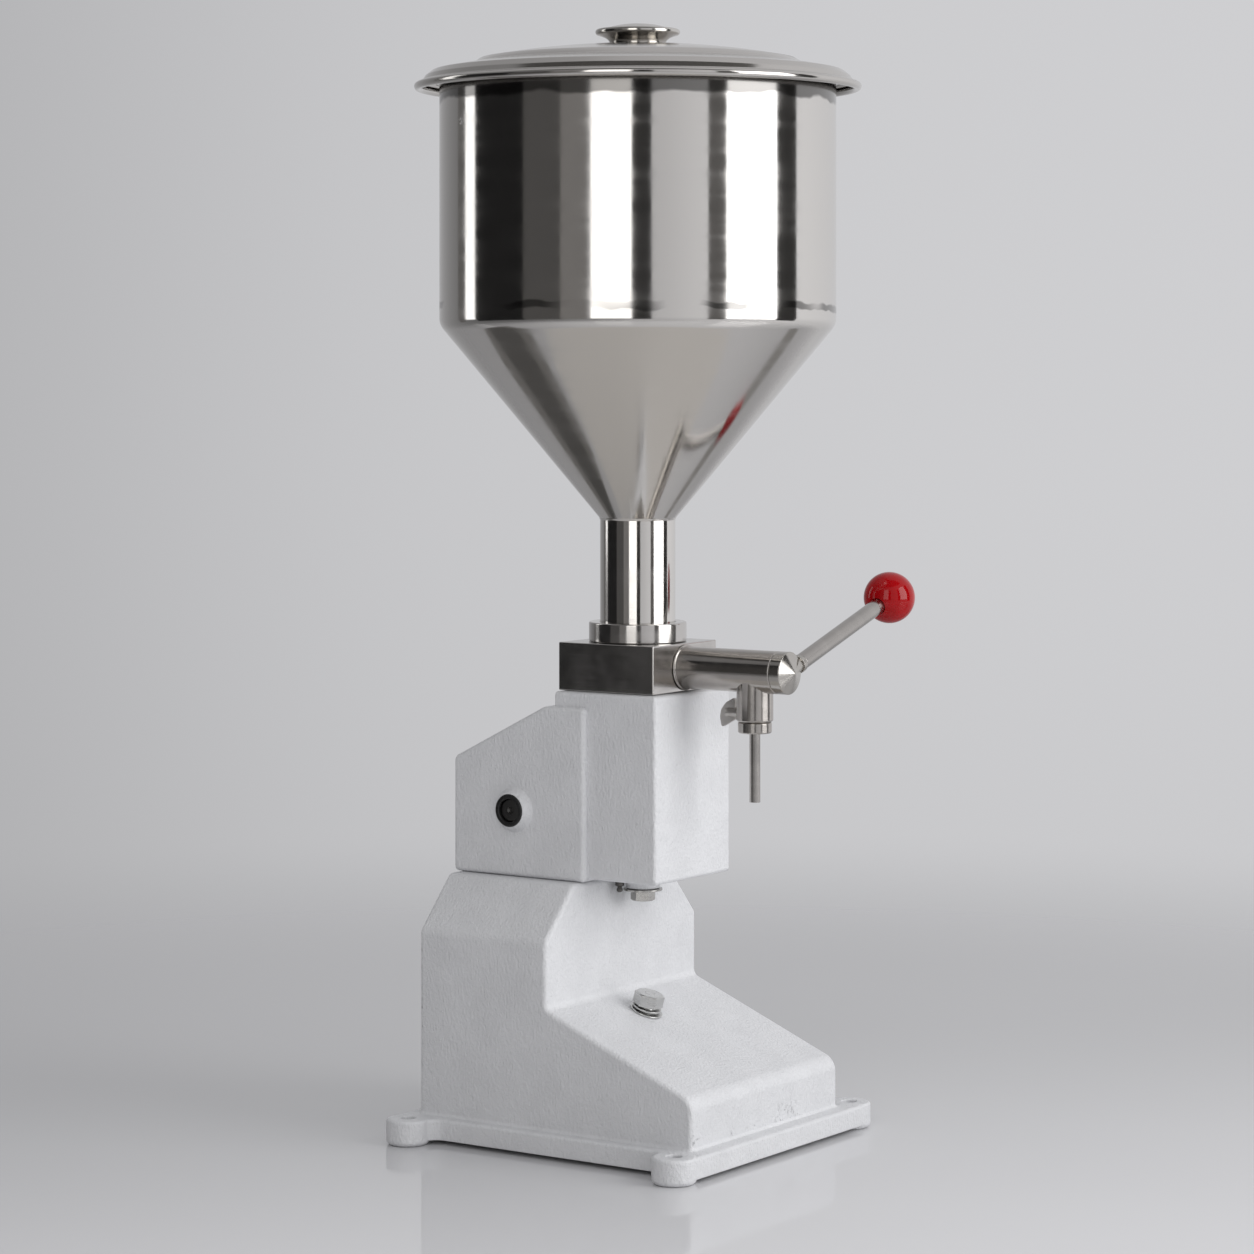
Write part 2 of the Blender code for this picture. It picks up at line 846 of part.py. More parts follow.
recess_top = block_bottom + flange_thickness + seat_gap
shelf_z = block_top - shelf_depth
pipe_start = block_front + spigot_depth
on_axis = (0, 0, 0)
block_shape = box(
    (-block_width / 2, block_front, block_bottom),
    (block_width / 2, block_front + block_length, block_top),
)
soften(block_shape, block_rounding, 1, is_convex)
valve_block = node("valve_block", block_shape, satin_steel)
chamber = turned(
    [
        (0, block_bottom - overrun),
        (flange_radius + seat_gap, block_bottom - overrun),
        (flange_radius + seat_gap, recess_top),
        (pump_bore_radius, recess_top),
        (pump_bore_radius, shelf_z),
        (shelf_radius, shelf_z),
        (shelf_radius, block_top + overrun),
        (0, block_top + overrun),
    ],
    sides_medium,
)
cut(valve_block, "chamber", chamber, on_axis)
block_port = turned(
    [
        (0, 0),
        (port_radius, 0),
        (port_radius, -pipe_start - seat_gap),
        (spigot_radius + seat_gap, -pipe_start - seat_gap),
        (spigot_radius + seat_gap, overrun - block_front),
        (0, overrun - block_front),
    ],
    sides_small,
)
cut(valve_block, "port", block_port, (0, 0, outlet_z), facing_front)
screw_places = four_places(block_screw_offset, -block_screw_offset, block_screw_offset)
screw_hole = block_screw_radius + seat_gap
screw_top = block_bottom + block_screw_depth
screw_bearing = head_top - head_wall - seat_gap


def block_screw():
    """A socket screw with the underside of its head at zero."""
    profile = [
        (0, -block_screw_head),
        (block_screw_head_radius, -block_screw_head),
        (block_screw_head_radius, 0),
        (block_screw_radius, 0),
        (block_screw_radius, screw_top - screw_bearing),
        (0, screw_top - screw_bearing),
    ]
    return turned(profile, sides_tiny)


at_places("block_screw", screw_places, block_screw, zinc_steel, screw_bearing)
for piece, low, high in (
    (valve_block, block_bottom - overrun, screw_top + seat_gap),
    (head_casting, head_top - head_wall - overrun, head_top + overrun),
):
    screw_bore = rod(screw_hole, low, high, sides_tiny)
    cut(piece, "screw_holes", moved(screw_bore, screw_places.values()))

# Inlet valve: a seat on the block's shelf, and a ball that drops into a cage under it
seat_thickness = 0.0035
seat_hole = 0.008
ball_radius = 0.010
ball_lift = 0.0032
cage_inner = 0.011
cage_outer = 0.013
cage_flange_thickness = 0.002
lip_hole = 0.006
lip_thickness = 0.002
cage_window = 0.012
window_edge = 0.002

seat_bottom = shelf_z + seat_gap
seat_top = seat_bottom + seat_thickness
inlet_seat = ring(seat_hole, shelf_radius - seat_gap, seat_bottom, seat_top, sides_medium)
node("inlet_seat", inlet_seat, satin_steel, on_axis)
touch = ball_radius + seat_gap
ball_z = seat_bottom - math.sqrt(touch**2 - seat_hole**2) - ball_lift
lip_top = ball_z - math.sqrt(touch**2 - lip_hole**2)
cage_bottom = lip_top - lip_thickness
cage_shoulder = shelf_z - cage_flange_thickness


def ball(radius, sides):
    profile = arc((0, 0), radius, -math.pi / 2, math.pi / 2, sides // 2)
    profile[0] = (0, -radius)
    profile[-1] = (0, radius)
    return turned(profile, sides)


node("inlet_ball", ball(ball_radius, sides_small), polished_steel, (0, 0, ball_z))
cage = turned(
    [
        (lip_hole, cage_bottom),
        (cage_outer, cage_bottom),
        (cage_outer, cage_shoulder),
        (pump_bore_radius - seat_gap, cage_shoulder),
        (pump_bore_radius - seat_gap, shelf_z),
        (cage_inner, shelf_z),
        (cage_inner, lip_top),
        (lip_hole, lip_top),
    ],
    sides_small,
)
inlet_cage = node("inlet_cage", cage, satin_steel, on_axis)
window_reach = cage_outer + overrun
window_low = lip_top + window_edge
window_high = cage_shoulder - window_edge
for label, half_x, half_y in (
    ("side_windows", window_reach, cage_window / 2),
    ("front_windows", cage_window / 2, window_reach),
):
    window = box((-half_x, -half_y, window_low), (half_x, half_y, window_high))
    cut(inlet_cage, label, window, on_axis)

# Piston: it stops short of the cage at the top of its stroke
piston_top_room = 0.001
piston_thickness = 0.0176
piston_bore = 0.0040
piston_recess_radius = 0.0085
piston_recess_depth = 0.006
seal_section = 0.001
lower_seal_share = 0.25
upper_seal_share = 0.70
nut_height = 0.0048
nut_corner = 0.0072
rod_radius = 0.012
rod_end_margin = 0.009

stroke = arm_reach * (math.tan(rest_angle) + math.tan(lifted_angle))
piston_top = cage_bottom - piston_top_room - stroke
piston_bottom = piston_top - piston_thickness
pin_z = shaft_z - arm_reach * math.tan(rest_angle)
piston_radius = pump_bore_radius - 2 * running_gap
seal_middle = pump_bore_radius - running_gap - seal_section
seal_floor = seal_middle - seal_section - seat_gap
seal_half = seal_section + seat_gap
seal_heights = [
    piston_bottom + share * piston_thickness for share in (lower_seal_share, upper_seal_share)
]
recess_floor = piston_top - piston_recess_depth
piston_profile = [(piston_bore + seat_gap, piston_bottom), (piston_radius, piston_bottom)]
for height in seal_heights:
    piston_profile += [
        (piston_radius, height - seal_half),
        (seal_floor, height - seal_half),
        (seal_floor, height + seal_half),
        (piston_radius, height + seal_half),
    ]
piston_profile += [
    (piston_radius, piston_top),
    (piston_recess_radius, piston_top),
    (piston_recess_radius, recess_floor),
    (piston_bore + seat_gap, recess_floor),
]
node("piston", turned(piston_profile, sides_medium), satin_steel, on_axis)
for label, height in zip(("lower", "upper"), seal_heights):
    seal = o_ring(seal_middle, seal_section, height)
    node("piston_seal_" + label, seal, seal_rubber, on_axis)
nut_bottom = recess_floor + seat_gap
nut_bore = piston_bore + seat_gap
piston_nut = hex_nut(nut_corner, nut_bore, nut_bottom, nut_bottom + nut_height)
node("piston_nut", piston_nut, zinc_steel, on_axis)

# Piston rod: slotted from below for the arm, with a cross pin and its two clips
pin_clip_thickness = 0.0012
pin_clip_radius = 0.006
pin_clip_inner = 0.0034
pin_groove = 0.0031
pin_end = 0.001
slot_headroom = 0.0012

rod_bottom = pin_z - rod_end_margin
rod_top = piston_bottom - seat_gap
arm_over_rod = (
    shaft_z
    - (arm_reach - rod_radius) * math.tan(rest_angle)
    + arm_half_height / math.cos(rest_angle)
)
slot_top = arm_over_rod + slot_headroom
rod_profile = [
    (0, rod_bottom),
    (rod_radius, rod_bottom),
    (rod_radius, rod_top),
    (piston_bore, rod_top),
    (piston_bore, nut_bottom + nut_height),
    (0, nut_bottom + nut_height),
]
piston_rod = node("piston_rod", turned(rod_profile, sides_medium), polished_steel, on_axis)
slot_half = arm_half_width + running_gap
rod_slot = box(
    (-slot_half, -rod_radius - overrun, rod_bottom - overrun),
    (slot_half, rod_radius + overrun, slot_top),
)
cut(piston_rod, "slot", rod_slot, on_axis)
pin_place = (0, 0, pin_z)
pin_hole = rod(pin_radius + seat_gap, -rod_radius - overrun, rod_radius + overrun)
cut(piston_rod, "pin_hole", pin_hole, pin_place, facing_right)
clip_start = rod_radius + seat_gap
clip_end = clip_start + pin_clip_thickness
pin_half = clip_end + seat_gap + pin_end
pin_profile = [(0, -pin_half), (pin_radius, -pin_half)]
for low, high in ((-clip_end, -clip_start), (clip_start, clip_end)):
    pin_profile += [
        (pin_radius, low - seat_gap),
        (pin_groove, low - seat_gap),
        (pin_groove, high + seat_gap / 2),
        (pin_radius, high + seat_gap / 2),
    ]
pin_profile += [(pin_radius, pin_half), (0, pin_half)]
node("rod_pin", turned(pin_profile, sides_small), dark_steel, pin_place, facing_right)
for end, side in ends.items():
    low, high = along_shaft(side, clip_start, clip_end)
    pin_clip = ring(pin_clip_inner, pin_clip_radius, low, high, sides_small, circlip_sweep)
    node("rod_pin_clip_" + end, pin_clip, dark_steel, pin_place, facing_right)

# Pump cylinder: it hangs from the block through the head's top wall, with the rod's guide in
# its lower end and an O-ring on its flange
cylinder_wall = 0.004
guide_thickness = 0.005
flange_ring_middle = 0.025
flange_ring_section = 0.00085

cylinder_outer = pump_bore_radius + cylinder_wall
guide_top = piston_bottom - running_gap
cylinder_bottom = guide_top - guide_thickness - seat_gap
flange_top = block_bottom + flange_thickness
groove_half = flange_ring_section + seat_gap
groove_floor = flange_top - 2 * flange_ring_section - seat_gap
cylinder_profile = [
    (pump_bore_radius, cylinder_bottom),
    (cylinder_outer, cylinder_bottom),
    (cylinder_outer, block_bottom),
    (flange_radius, block_bottom),
    (flange_radius, flange_top),
    (flange_ring_middle + groove_half, flange_top),
    (flange_ring_middle + groove_half, groove_floor),
    (flange_ring_middle - groove_half, groove_floor),
    (flange_ring_middle - groove_half, flange_top),
    (pump_bore_radius, flange_top),
]
node("pump_cylinder", turned(cylinder_profile, sides_medium), polished_steel, on_axis)
cylinder_ring = o_ring(
    flange_ring_middle, flange_ring_section, groove_floor + seat_gap + flange_ring_section
)
node("cylinder_o_ring", cylinder_ring, seal_rubber, on_axis)
cylinder_hole = rod(
    cylinder_outer + seat_gap, head_top - head_wall - overrun, head_top + overrun, sides_medium
)
cut(head_casting, "cylinder_hole", cylinder_hole, on_axis)
guide = ring(
    rod_radius + running_gap,
    pump_bore_radius - seat_gap,
    guide_top - guide_thickness,
    guide_top,
    sides_medium,
)
node("rod_guide", guide, black_plastic, on_axis)

# Outlet pipe with its weld ring at the block and the nozzle's socket under it
weld_ring_radius = 0.0163
weld_ring_width = 0.0012
socket_radius = 0.013
socket_length = 0.035
socket_edge = 0.001
socket_bore = 0.0085
socket_bore_depth = 0.0138
nozzle_port = 0.0055
pipe_edge = 0.0006

pipe_end = block_front - pipe_length
nozzle_y = block_front - nozzle_reach
nozzle_place = (0, nozzle_y, outlet_z)
socket_bottom = -socket_length
pipe_origin = (0, block_front, outlet_z)
pipe_profile = [
    (0, -spigot_depth),
    (spigot_radius, -spigot_depth),
    (spigot_radius, seat_gap),
    (weld_ring_radius, seat_gap),
    (weld_ring_radius, seat_gap + weld_ring_width / 2),
    (pipe_radius, seat_gap + weld_ring_width),
    (pipe_radius, pipe_length - pipe_edge),
    (pipe_radius - pipe_edge, pipe_length),
    (0, pipe_length),
]
outlet_pipe = node(
    "outlet_pipe", turned(pipe_profile, sides_medium), satin_steel, pipe_origin, facing_front
)
socket_profile = [
    (0, socket_bottom),
    (socket_radius - socket_edge, socket_bottom),
    (socket_radius, socket_bottom + socket_edge),
    (socket_radius, 0),
    (0, 0),
]
join(outlet_pipe, "socket", turned(socket_profile, sides_medium), nozzle_place)
pipe_bore = rod(pipe_bore_radius, -spigot_depth - overrun, pipe_length + overrun, sides_medium)
cut(outlet_pipe, "bore", pipe_bore, pipe_origin, facing_front)
socket_bore_top = socket_bottom + socket_bore_depth
socket_hollow = turned(
    [
        (0, socket_bottom - overrun),
        (socket_bore, socket_bottom - overrun),
        (socket_bore, socket_bore_top),
        (nozzle_port, socket_bore_top),
        (nozzle_port, 0),
        (0, 0),
    ],
    sides_small,
)
cut(outlet_pipe, "nozzle_port", socket_hollow, nozzle_place)

# Outlet valve: a seat in the pipe's inlet, a ball that a spring holds on it, and a stop ring
outlet_seat_length = 0.005
outlet_seat_hole = 0.0055
outlet_ball_radius = 0.007
spring_radius = 0.0046
spring_wire_radius = 0.0005
spring_turns = 6
spring_turn_points = 8
stop_thickness = 0.003
stop_hole = 0.0035
plug_inner_end = 0.0390

insert_radius = pipe_bore_radius - seat_gap
seat_start = -spigot_depth
outlet_seat_end = seat_start + outlet_seat_length
outlet_ball_touch = outlet_ball_radius + seat_gap
outlet_ball_at = outlet_seat_end + math.sqrt(outlet_ball_touch**2 - outlet_seat_hole**2)
stop_end = plug_inner_end - running_gap
stop_start = stop_end - stop_thickness
outlet_seat = ring(outlet_seat_hole, insert_radius, seat_start, outlet_seat_end)
node("outlet_seat", outlet_seat, satin_steel, pipe_origin, facing_front)
node(
    "outlet_ball",
    ball(outlet_ball_radius, sides_tiny),
    polished_steel,
    (0, block_front - outlet_ball_at, outlet_z),
    facing_front,
)
node(
    "spring_stop",
    ring(stop_hole, insert_radius, stop_start, stop_end),
    satin_steel,
    pipe_origin,
    facing_front,
)


def spring_points():
    """A helix from the ball to the stop ring."""
    clear = outlet_ball_touch + spring_wire_radius
    start = outlet_ball_at + math.sqrt(clear**2 - spring_radius**2)
    end = stop_start - seat_gap - spring_wire_radius
    count = spring_turns * spring_turn_points
    for index in range(count + 1):
        turn = math.tau * index / spring_turn_points
        along = start + (end - start) * index / count
        yield spring_radius * math.cos(turn), spring_radius * math.sin(turn), along


spring_curve = bpy.data.curves.new("outlet_spring", "CURVE")
spring_curve.dimensions = "3D"
spring_curve.bevel_depth = spring_wire_radius
spring_curve.bevel_resolution = 0
spring_curve.use_fill_caps = True
coil = list(spring_points())
wire = spring_curve.splines.new("POLY")
wire.points.add(len(coil) - 1)
for point, place in zip(wire.points, coil):
    point.co = (*place, 1)
spring_curve.materials.append(zinc_steel("outlet_spring"))
outlet_spring = bpy.data.objects.new("outlet_spring", spring_curve)
bpy.context.scene.collection.objects.link(outlet_spring)
outlet_spring.location = pipe_origin
outlet_spring.rotation_euler = facing_front

# Turning plug: it closes the pipe's end and opens or shuts the way to the nozzle
cap_length = 0.0085
cone_length = 0.0045
plug_hollow_radius = 0.006
plug_hollow_end = 0.007
plug_ring_section = 0.0008
front_ring_offset = 0.0102
back_ring_offset = 0.0095
lever_neck_radius = 0.0052
lever_neck_inset = 0.0003
lever_socket_radius = 0.0064
lever_socket_length = 0.0195
lever_socket_gap = 0.0004
lever_rod_radius = 0.0058
lever_thread_radius = 0.004
lever_thread_sink = 0.006
stop_screw_radius = 0.0025
stop_screw_offset = 0.0046
stop_groove_depth = 0.002
stop_groove_sweep = math.radians(120)
stop_groove_start = math.radians(105)
plug_clearance = 0.0004

plug_radius = pipe_bore_radius - plug_clearance
plug_pivot = pivot("plug_pivot", pipe_origin)
cap_start = pipe_length + running_gap
cap_end = cap_start + cap_length
hollow_end = nozzle_reach + plug_hollow_end
ring_middle = pipe_bore_radius - running_gap - plug_ring_section
ring_floor = ring_middle - plug_ring_section - seat_gap
ring_half = plug_ring_section + seat_gap
ring_places = [nozzle_reach - back_ring_offset, nozzle_reach + front_ring_offset]
plug_profile = [
    (0, hollow_end),
    (plug_hollow_radius, hollow_end),
    (plug_hollow_radius, plug_inner_end),
    (plug_radius, plug_inner_end),
]
for along in ring_places:
    plug_profile += [
        (plug_radius, along - ring_half),
        (ring_floor, along - ring_half),
        (ring_floor, along + ring_half),
        (plug_radius, along + ring_half),
    ]
plug_profile += [
    (plug_radius, cap_start),
    (pipe_radius, cap_start),
    (pipe_radius, cap_end),
    (0, cap_end + cone_length),
]
valve_plug = node(
    "valve_plug",
    turned(plug_profile, sides_medium),
    satin_steel,
    on_axis,
    facing_front,
    plug_pivot,
)
plug_port = rod(nozzle_port, -pipe_bore_radius - overrun, 0)
cut(valve_plug, "port", plug_port, (0, -nozzle_reach, 0))
lever_y = -cap_start - lever_neck_inset - lever_neck_radius
along_lever = (0, math.radians(90) - lever_angle, 0)
lever_place = (0, lever_y, 0)
lever_socket_start = pipe_radius + lever_socket_gap
lever_socket = turned(
    [
        (0, lever_thread_sink),
        (lever_neck_radius, lever_thread_sink),
        (lever_neck_radius, lever_socket_start),
        (lever_socket_radius, lever_socket_start),
        (lever_socket_radius, lever_socket_length),
        (0, lever_socket_length),
    ],
    sides_small,
)
join(valve_plug, "lever_socket", lever_socket, lever_place, along_lever)
lever_thread_start = lever_thread_sink + seat_gap
lever_thread = rod(
    lever_thread_radius + seat_gap, lever_thread_sink, lever_socket_length + overrun, sides_tiny
)
cut(valve_plug, "lever_thread", lever_thread, lever_place, along_lever)
for label, along in zip(("inner", "outer"), ring_places):
    plug_ring = o_ring(ring_middle, plug_ring_section, along, sides_small)
    node("plug_o_ring_" + label, plug_ring, seal_rubber, on_axis, facing_front, plug_pivot)

# Stop screw in the pipe's far side. Its tip runs in a part groove of the plug and keeps it in
groove_at = plug_inner_end + stop_screw_offset
groove_inner = plug_radius - stop_groove_depth
stop_groove = ring(
    groove_inner,
    plug_radius + overrun,
    groove_at - stop_screw_radius - running_gap,
    groove_at + stop_screw_radius + running_gap,
    sides_small,
    stop_groove_sweep,
)
groove_turn = (math.radians(90), stop_groove_start, 0)
cut(valve_plug, "stop_groove", stop_groove, on_axis, groove_turn)
stop_place = (0, block_front - groove_at, outlet_z)
stop_screw = rod(stop_screw_radius, groove_inner + running_gap, pipe_radius, sides_tiny)
node("plug_stop_screw", stop_screw, dark_steel, stop_place, facing_right)
stop_hole_cut = rod(
    stop_screw_radius + seat_gap, plug_radius - overrun, pipe_radius + overrun, sides_tiny
)
cut(outlet_pipe, "stop_screw_hole", stop_hole_cut, stop_place, facing_right)

# Lever: a rod screwed into the plug's socket, with a ball knob
knob_seat_depth = 0.004
knob_thread_depth = 0.014

rod_start = lever_socket_length + seat_gap
knob_face = lever_length - ball_knob_radius
rod_end = knob_face + knob_seat_depth - seat_gap
knob_thread_end = knob_face + knob_thread_depth
lever_profile = [
    (0, lever_thread_start),
    (lever_thread_radius, lever_thread_start),
    (lever_thread_radius, rod_start),
    (lever_rod_radius, rod_start),
    (lever_rod_radius, rod_end),
    (lever_thread_radius, rod_end),
    (lever_thread_radius, knob_thread_end - seat_gap),
    (0, knob_thread_end - seat_gap),
]
node(
    "lever_rod",
    turned(lever_profile, sides_small),
    polished_steel,
    lever_place,
    along_lever,
    plug_pivot,
)
knob_hole = lever_rod_radius + seat_gap
knob_hole_turn = -math.acos(knob_hole / ball_knob_radius)
knob_profile = [
    (0, knob_thread_end),
    (lever_thread_radius + seat_gap, knob_thread_end),
    (lever_thread_radius + seat_gap, knob_face + knob_seat_depth),
    (knob_hole, knob_face + knob_seat_depth),
    *arc(
        (0, lever_length), ball_knob_radius, knob_hole_turn, math.pi / 2, 3 * arc_steps
    )[:-1],
    (0, lever_length + ball_knob_radius),
]
node(
    "lever_ball",
    turned(knob_profile, sides_small),
    red_plastic,
    lever_place,
    along_lever,
    plug_pivot,
)

# Nozzle: a tip whose flange a nut holds up against a washer in the socket
nozzle_nut_radius = 0.012
nozzle_nut_length = 0.0078
nozzle_nut_edge = 0.0008
nut_spigot_length = 0.0092
tip_radius = 0.0039
tip_bore = 0.0028
tip_length = 0.0565
tip_flange_thickness = 0.0024
nozzle_seal_thickness = 0.0009

socket_face = outlet_z - socket_length
nut_top = socket_face - seat_gap
nut_low = nut_top - nozzle_nut_length
spigot_top = nut_top + nut_spigot_length
in_socket = socket_bore - seat_gap
tip_hole = tip_radius + seat_gap
below = (0, nozzle_y, 0)
nozzle_nut = turned(
    [
        (tip_hole, nut_low),
        (nozzle_nut_radius - nozzle_nut_edge, nut_low),
        (nozzle_nut_radius, nut_low + nozzle_nut_edge),
        (nozzle_nut_radius, nut_top - nozzle_nut_edge),
        (nozzle_nut_radius - nozzle_nut_edge, nut_top),
        (in_socket, nut_top),
        (in_socket, spigot_top),
        (tip_hole, spigot_top),
    ],
    sides_small,
)
node("nozzle_nut", nozzle_nut, satin_steel, below)
tip_flange_bottom = spigot_top + seat_gap
tip_top = tip_flange_bottom + tip_flange_thickness
tip_end = nut_top - tip_length
nozzle_tip = turned(
    [
        (tip_bore, tip_end),
        (tip_radius, tip_end),
        (tip_radius, tip_flange_bottom),
        (in_socket, tip_flange_bottom),
        (in_socket, tip_top),
        (tip_bore, tip_top),
    ],
    sides_small,
)
node("nozzle_tip", nozzle_tip, polished_steel, below)
seal_start = tip_top + seat_gap
nozzle_seal = ring(tip_bore, in_socket, seal_start, seal_start + nozzle_seal_thickness)
node("nozzle_seal", nozzle_seal, seal_rubber, below)

# Wing screw behind the socket: it locks the nut. The wing is a flat plate on its head
wing_drop = 0.0295
wing_screw_radius = 0.0025
wing_thickness = 0.003
wing_root = 0.0028
wing_depth = 0.0126
wing_fall = 0.0111
wing_height = 0.0218
wing_head_radius = 0.0034
wing_outline_shares = (
    (0, 0.29),
    (0.90, 0),
    (1, 0.35),
    (0.93, 0.58),
    (0.60, 0.82),
    (0, 1),
)

wing_z = outlet_z - wing_drop
wing_pivot = pivot("wing_pivot", (0, nozzle_y, wing_z))
wing_start = socket_radius + wing_root
wing_outline = [
    (wing_start + along * wing_depth, up * wing_height - wing_fall)
    for along, up in wing_outline_shares
]
wing = prism(wing_outline, -wing_thickness / 2, wing_thickness / 2, "X")
wing_screw = node("wing_screw", wing, satin_steel, parent=wing_pivot)
wing_tip = in_socket + seat_gap
wing_head_end = wing_start + wing_depth / 2
wing_shank = turned(
    [
        (0, -wing_head_end),
        (wing_head_radius, -wing_head_end),
        (wing_head_radius, -socket_radius - seat_gap),
        (wing_screw_radius, -socket_radius - seat_gap),
        (wing_screw_radius, -wing_tip),
        (0, -wing_tip),
    ],
    sides_tiny,
)
join(wing_screw, "shank", wing_shank, (0, 0, 0), facing_front)
wing_hole = rod(
    wing_screw_radius + seat_gap, -socket_radius - overrun, -socket_bore + overrun, sides_tiny
)
cut(outlet_pipe, "wing_hole", wing_hole, (0, nozzle_y, wing_z), facing_front)

# Collar: it screws into the block, presses the inlet seat down and holds the hopper's neck
collar_radius = 0.035
collar_height = 0.0137
collar_edge = 0.0008
collar_thread_radius = 0.0220
collar_thread_bore = 0.018
neck_ledge = 0.0028
collar_ring_middle = 0.030
collar_ring_section = 0.001

collar_bottom = block_top + seat_gap
collar_top = collar_bottom + collar_height
ledge_top = collar_bottom + neck_ledge
neck_bottom = ledge_top + seat_gap
thread_bottom = seat_top + seat_gap
collar_groove = collar_ring_section + seat_gap
collar_groove_top = collar_bottom + 2 * collar_ring_section + seat_gap
collar_profile = [
    (collar_thread_bore, thread_bottom),
    (collar_thread_radius, thread_bottom),
    (collar_thread_radius, collar_bottom),
    (collar_ring_middle - collar_groove, collar_bottom),
    (collar_ring_middle - collar_groove, collar_groove_top),
    (collar_ring_middle + collar_groove, collar_groove_top),
    (collar_ring_middle + collar_groove, collar_bottom),
    (collar_radius, collar_bottom),
    (collar_radius, collar_top - collar_edge),
    (collar_radius - collar_edge, collar_top),
    (neck_radius + seat_gap, collar_top),
    (neck_radius + seat_gap, ledge_top),
    (collar_thread_bore, ledge_top),
]
node("neck_collar", turned(collar_profile, sides_medium), polished_steel, on_axis)
collar_ring = o_ring(
    collar_ring_middle, collar_ring_section, collar_bottom + collar_ring_section
)
node("collar_seal", collar_ring, seal_rubber, on_axis)

# Hopper: neck, cone and barrel in one wall, with a rolled rim
shoulder_bend = 0.013
rim_section = 0.0046
rim_outset = 0.0004

neck_top = neck_bottom + neck_length
cone_top = neck_top + cone_height
rim_z = cone_top + barrel_height
rim_middle = barrel_radius + rim_outset
cone_angle = math.atan2(cone_height, barrel_radius - neck_radius)


def hopper_wall_points(inset):
    """The wall's outline from the neck's foot to the rim, at a distance inside the outer one."""
    lean = inset * math.tan((math.radians(90) - cone_angle) / 2)
    bend = shoulder_bend - inset
    turn = math.radians(90) - cone_angle
    corner_z = cone_top + lean
    centre = (
        barrel_radius - inset - bend,
        corner_z + bend * math.tan(turn / 2),
    )
    points = [
        (neck_radius - inset, neck_bottom),
        (neck_radius - inset, neck_top + lean),
    ]
    return points + arc(centre, bend, -turn, 0, arc_steps)


rim_join = math.acos((barrel_radius - rim_middle) / rim_section)
rim_inner = barrel_radius - hopper_wall
rim_leave = math.acos((rim_inner - rim_middle) / rim_section)
rim_points = arc((rim_middle, rim_z), rim_section, -rim_join, math.tau - rim_leave, 3 * arc_steps)
hopper_profile = hopper_wall_points(0) + rim_points + hopper_wall_points(hopper_wall)[::-1]
node("hopper", turned(hopper_profile, sides_large), polished_steel, on_axis)

# Lid: a shallow dome and a flange that rests on the rim and rolls over at its edge
lid_thickness = 0.0012
dome_inset = 0.0233
dome_rise = 0.0035
dome_crown = 0.0105
dome_corner = 0.0052
flange_reach = 0.005
flange_drop = 0.0050
skirt_inset = 0.0055
skirt_drop = 0.0077
edge_section = 0.003
edge_drop = 0.0035
knob_screw_radius = 0.0024

lid_radius = barrel_radius + lid_overhang
dome_radius = barrel_radius - dome_inset
flange_slope_end = barrel_radius + flange_reach
skirt_radius = lid_radius - skirt_inset
slope_turn = math.atan2(flange_drop, flange_slope_end - dome_radius)
rest_z = rim_z + (rim_section + seat_gap + lid_thickness) / math.cos(slope_turn)
flange_start_z = rest_z + (rim_middle - dome_radius) * math.tan(slope_turn)
flange_end_z = flange_start_z - flange_drop
skirt_z = flange_end_z - skirt_drop
edge_centre = (lid_radius - edge_section, skirt_z - edge_drop)
crown_z = flange_start_z + dome_rise + dome_crown
screw_hole_radius = knob_screw_radius + seat_gap


def crown_points(steps):
    """The dome's top, from its corner to the middle, as a shallow parabola."""
    reach = dome_radius - dome_corner
    for step in range(1, steps + 1):
        share = 1 - step / steps
        radius = max(reach * share, screw_hole_radius)
        yield radius, crown_z - dome_crown * (radius / reach) ** 2


lid_top = [
    (skirt_radius, skirt_z),
    (flange_slope_end, flange_end_z),
    (dome_radius, flange_start_z),
    (dome_radius - dome_corner, flange_start_z + dome_rise),
    *crown_points(arc_steps),
]


def underside(points):
    """The same line one sheet thickness lower, square to it."""
    line = []
    for index, (radius, height) in enumerate(points):
        before = Vector(points[max(index - 1, 0)])
        after = Vector(points[min(index + 1, len(points) - 1)])
        along = (after - before).normalized()
        line.append((radius + along.y * -lid_thickness, height + along.x * lid_thickness))
    return line


lid_under = underside(lid_top)
lid_under[-1] = (screw_hole_radius, crown_z - lid_thickness)
edge_points = arc(edge_centre, edge_section, -math.radians(200), math.radians(100), 2 * arc_steps)
lid_profile = edge_points + lid_top + lid_under[::-1]
node("hopper_lid", turned(lid_profile, sides_large), polished_steel, on_axis)

# Knob on the lid, with its wide-headed screw from below
knob_foot_radius = 0.020
knob_waist_radius = 0.0215
knob_flare_radius = 0.0258
knob_flare_height = 0.0057
knob_rim_radius = 0.0304
knob_rim_height = 0.0087
knob_rim_section = 0.0022
knob_height = 0.0148
knob_hole_depth = 0.008
knob_screw_head_radius = 0.008
knob_screw_head = 0.0032

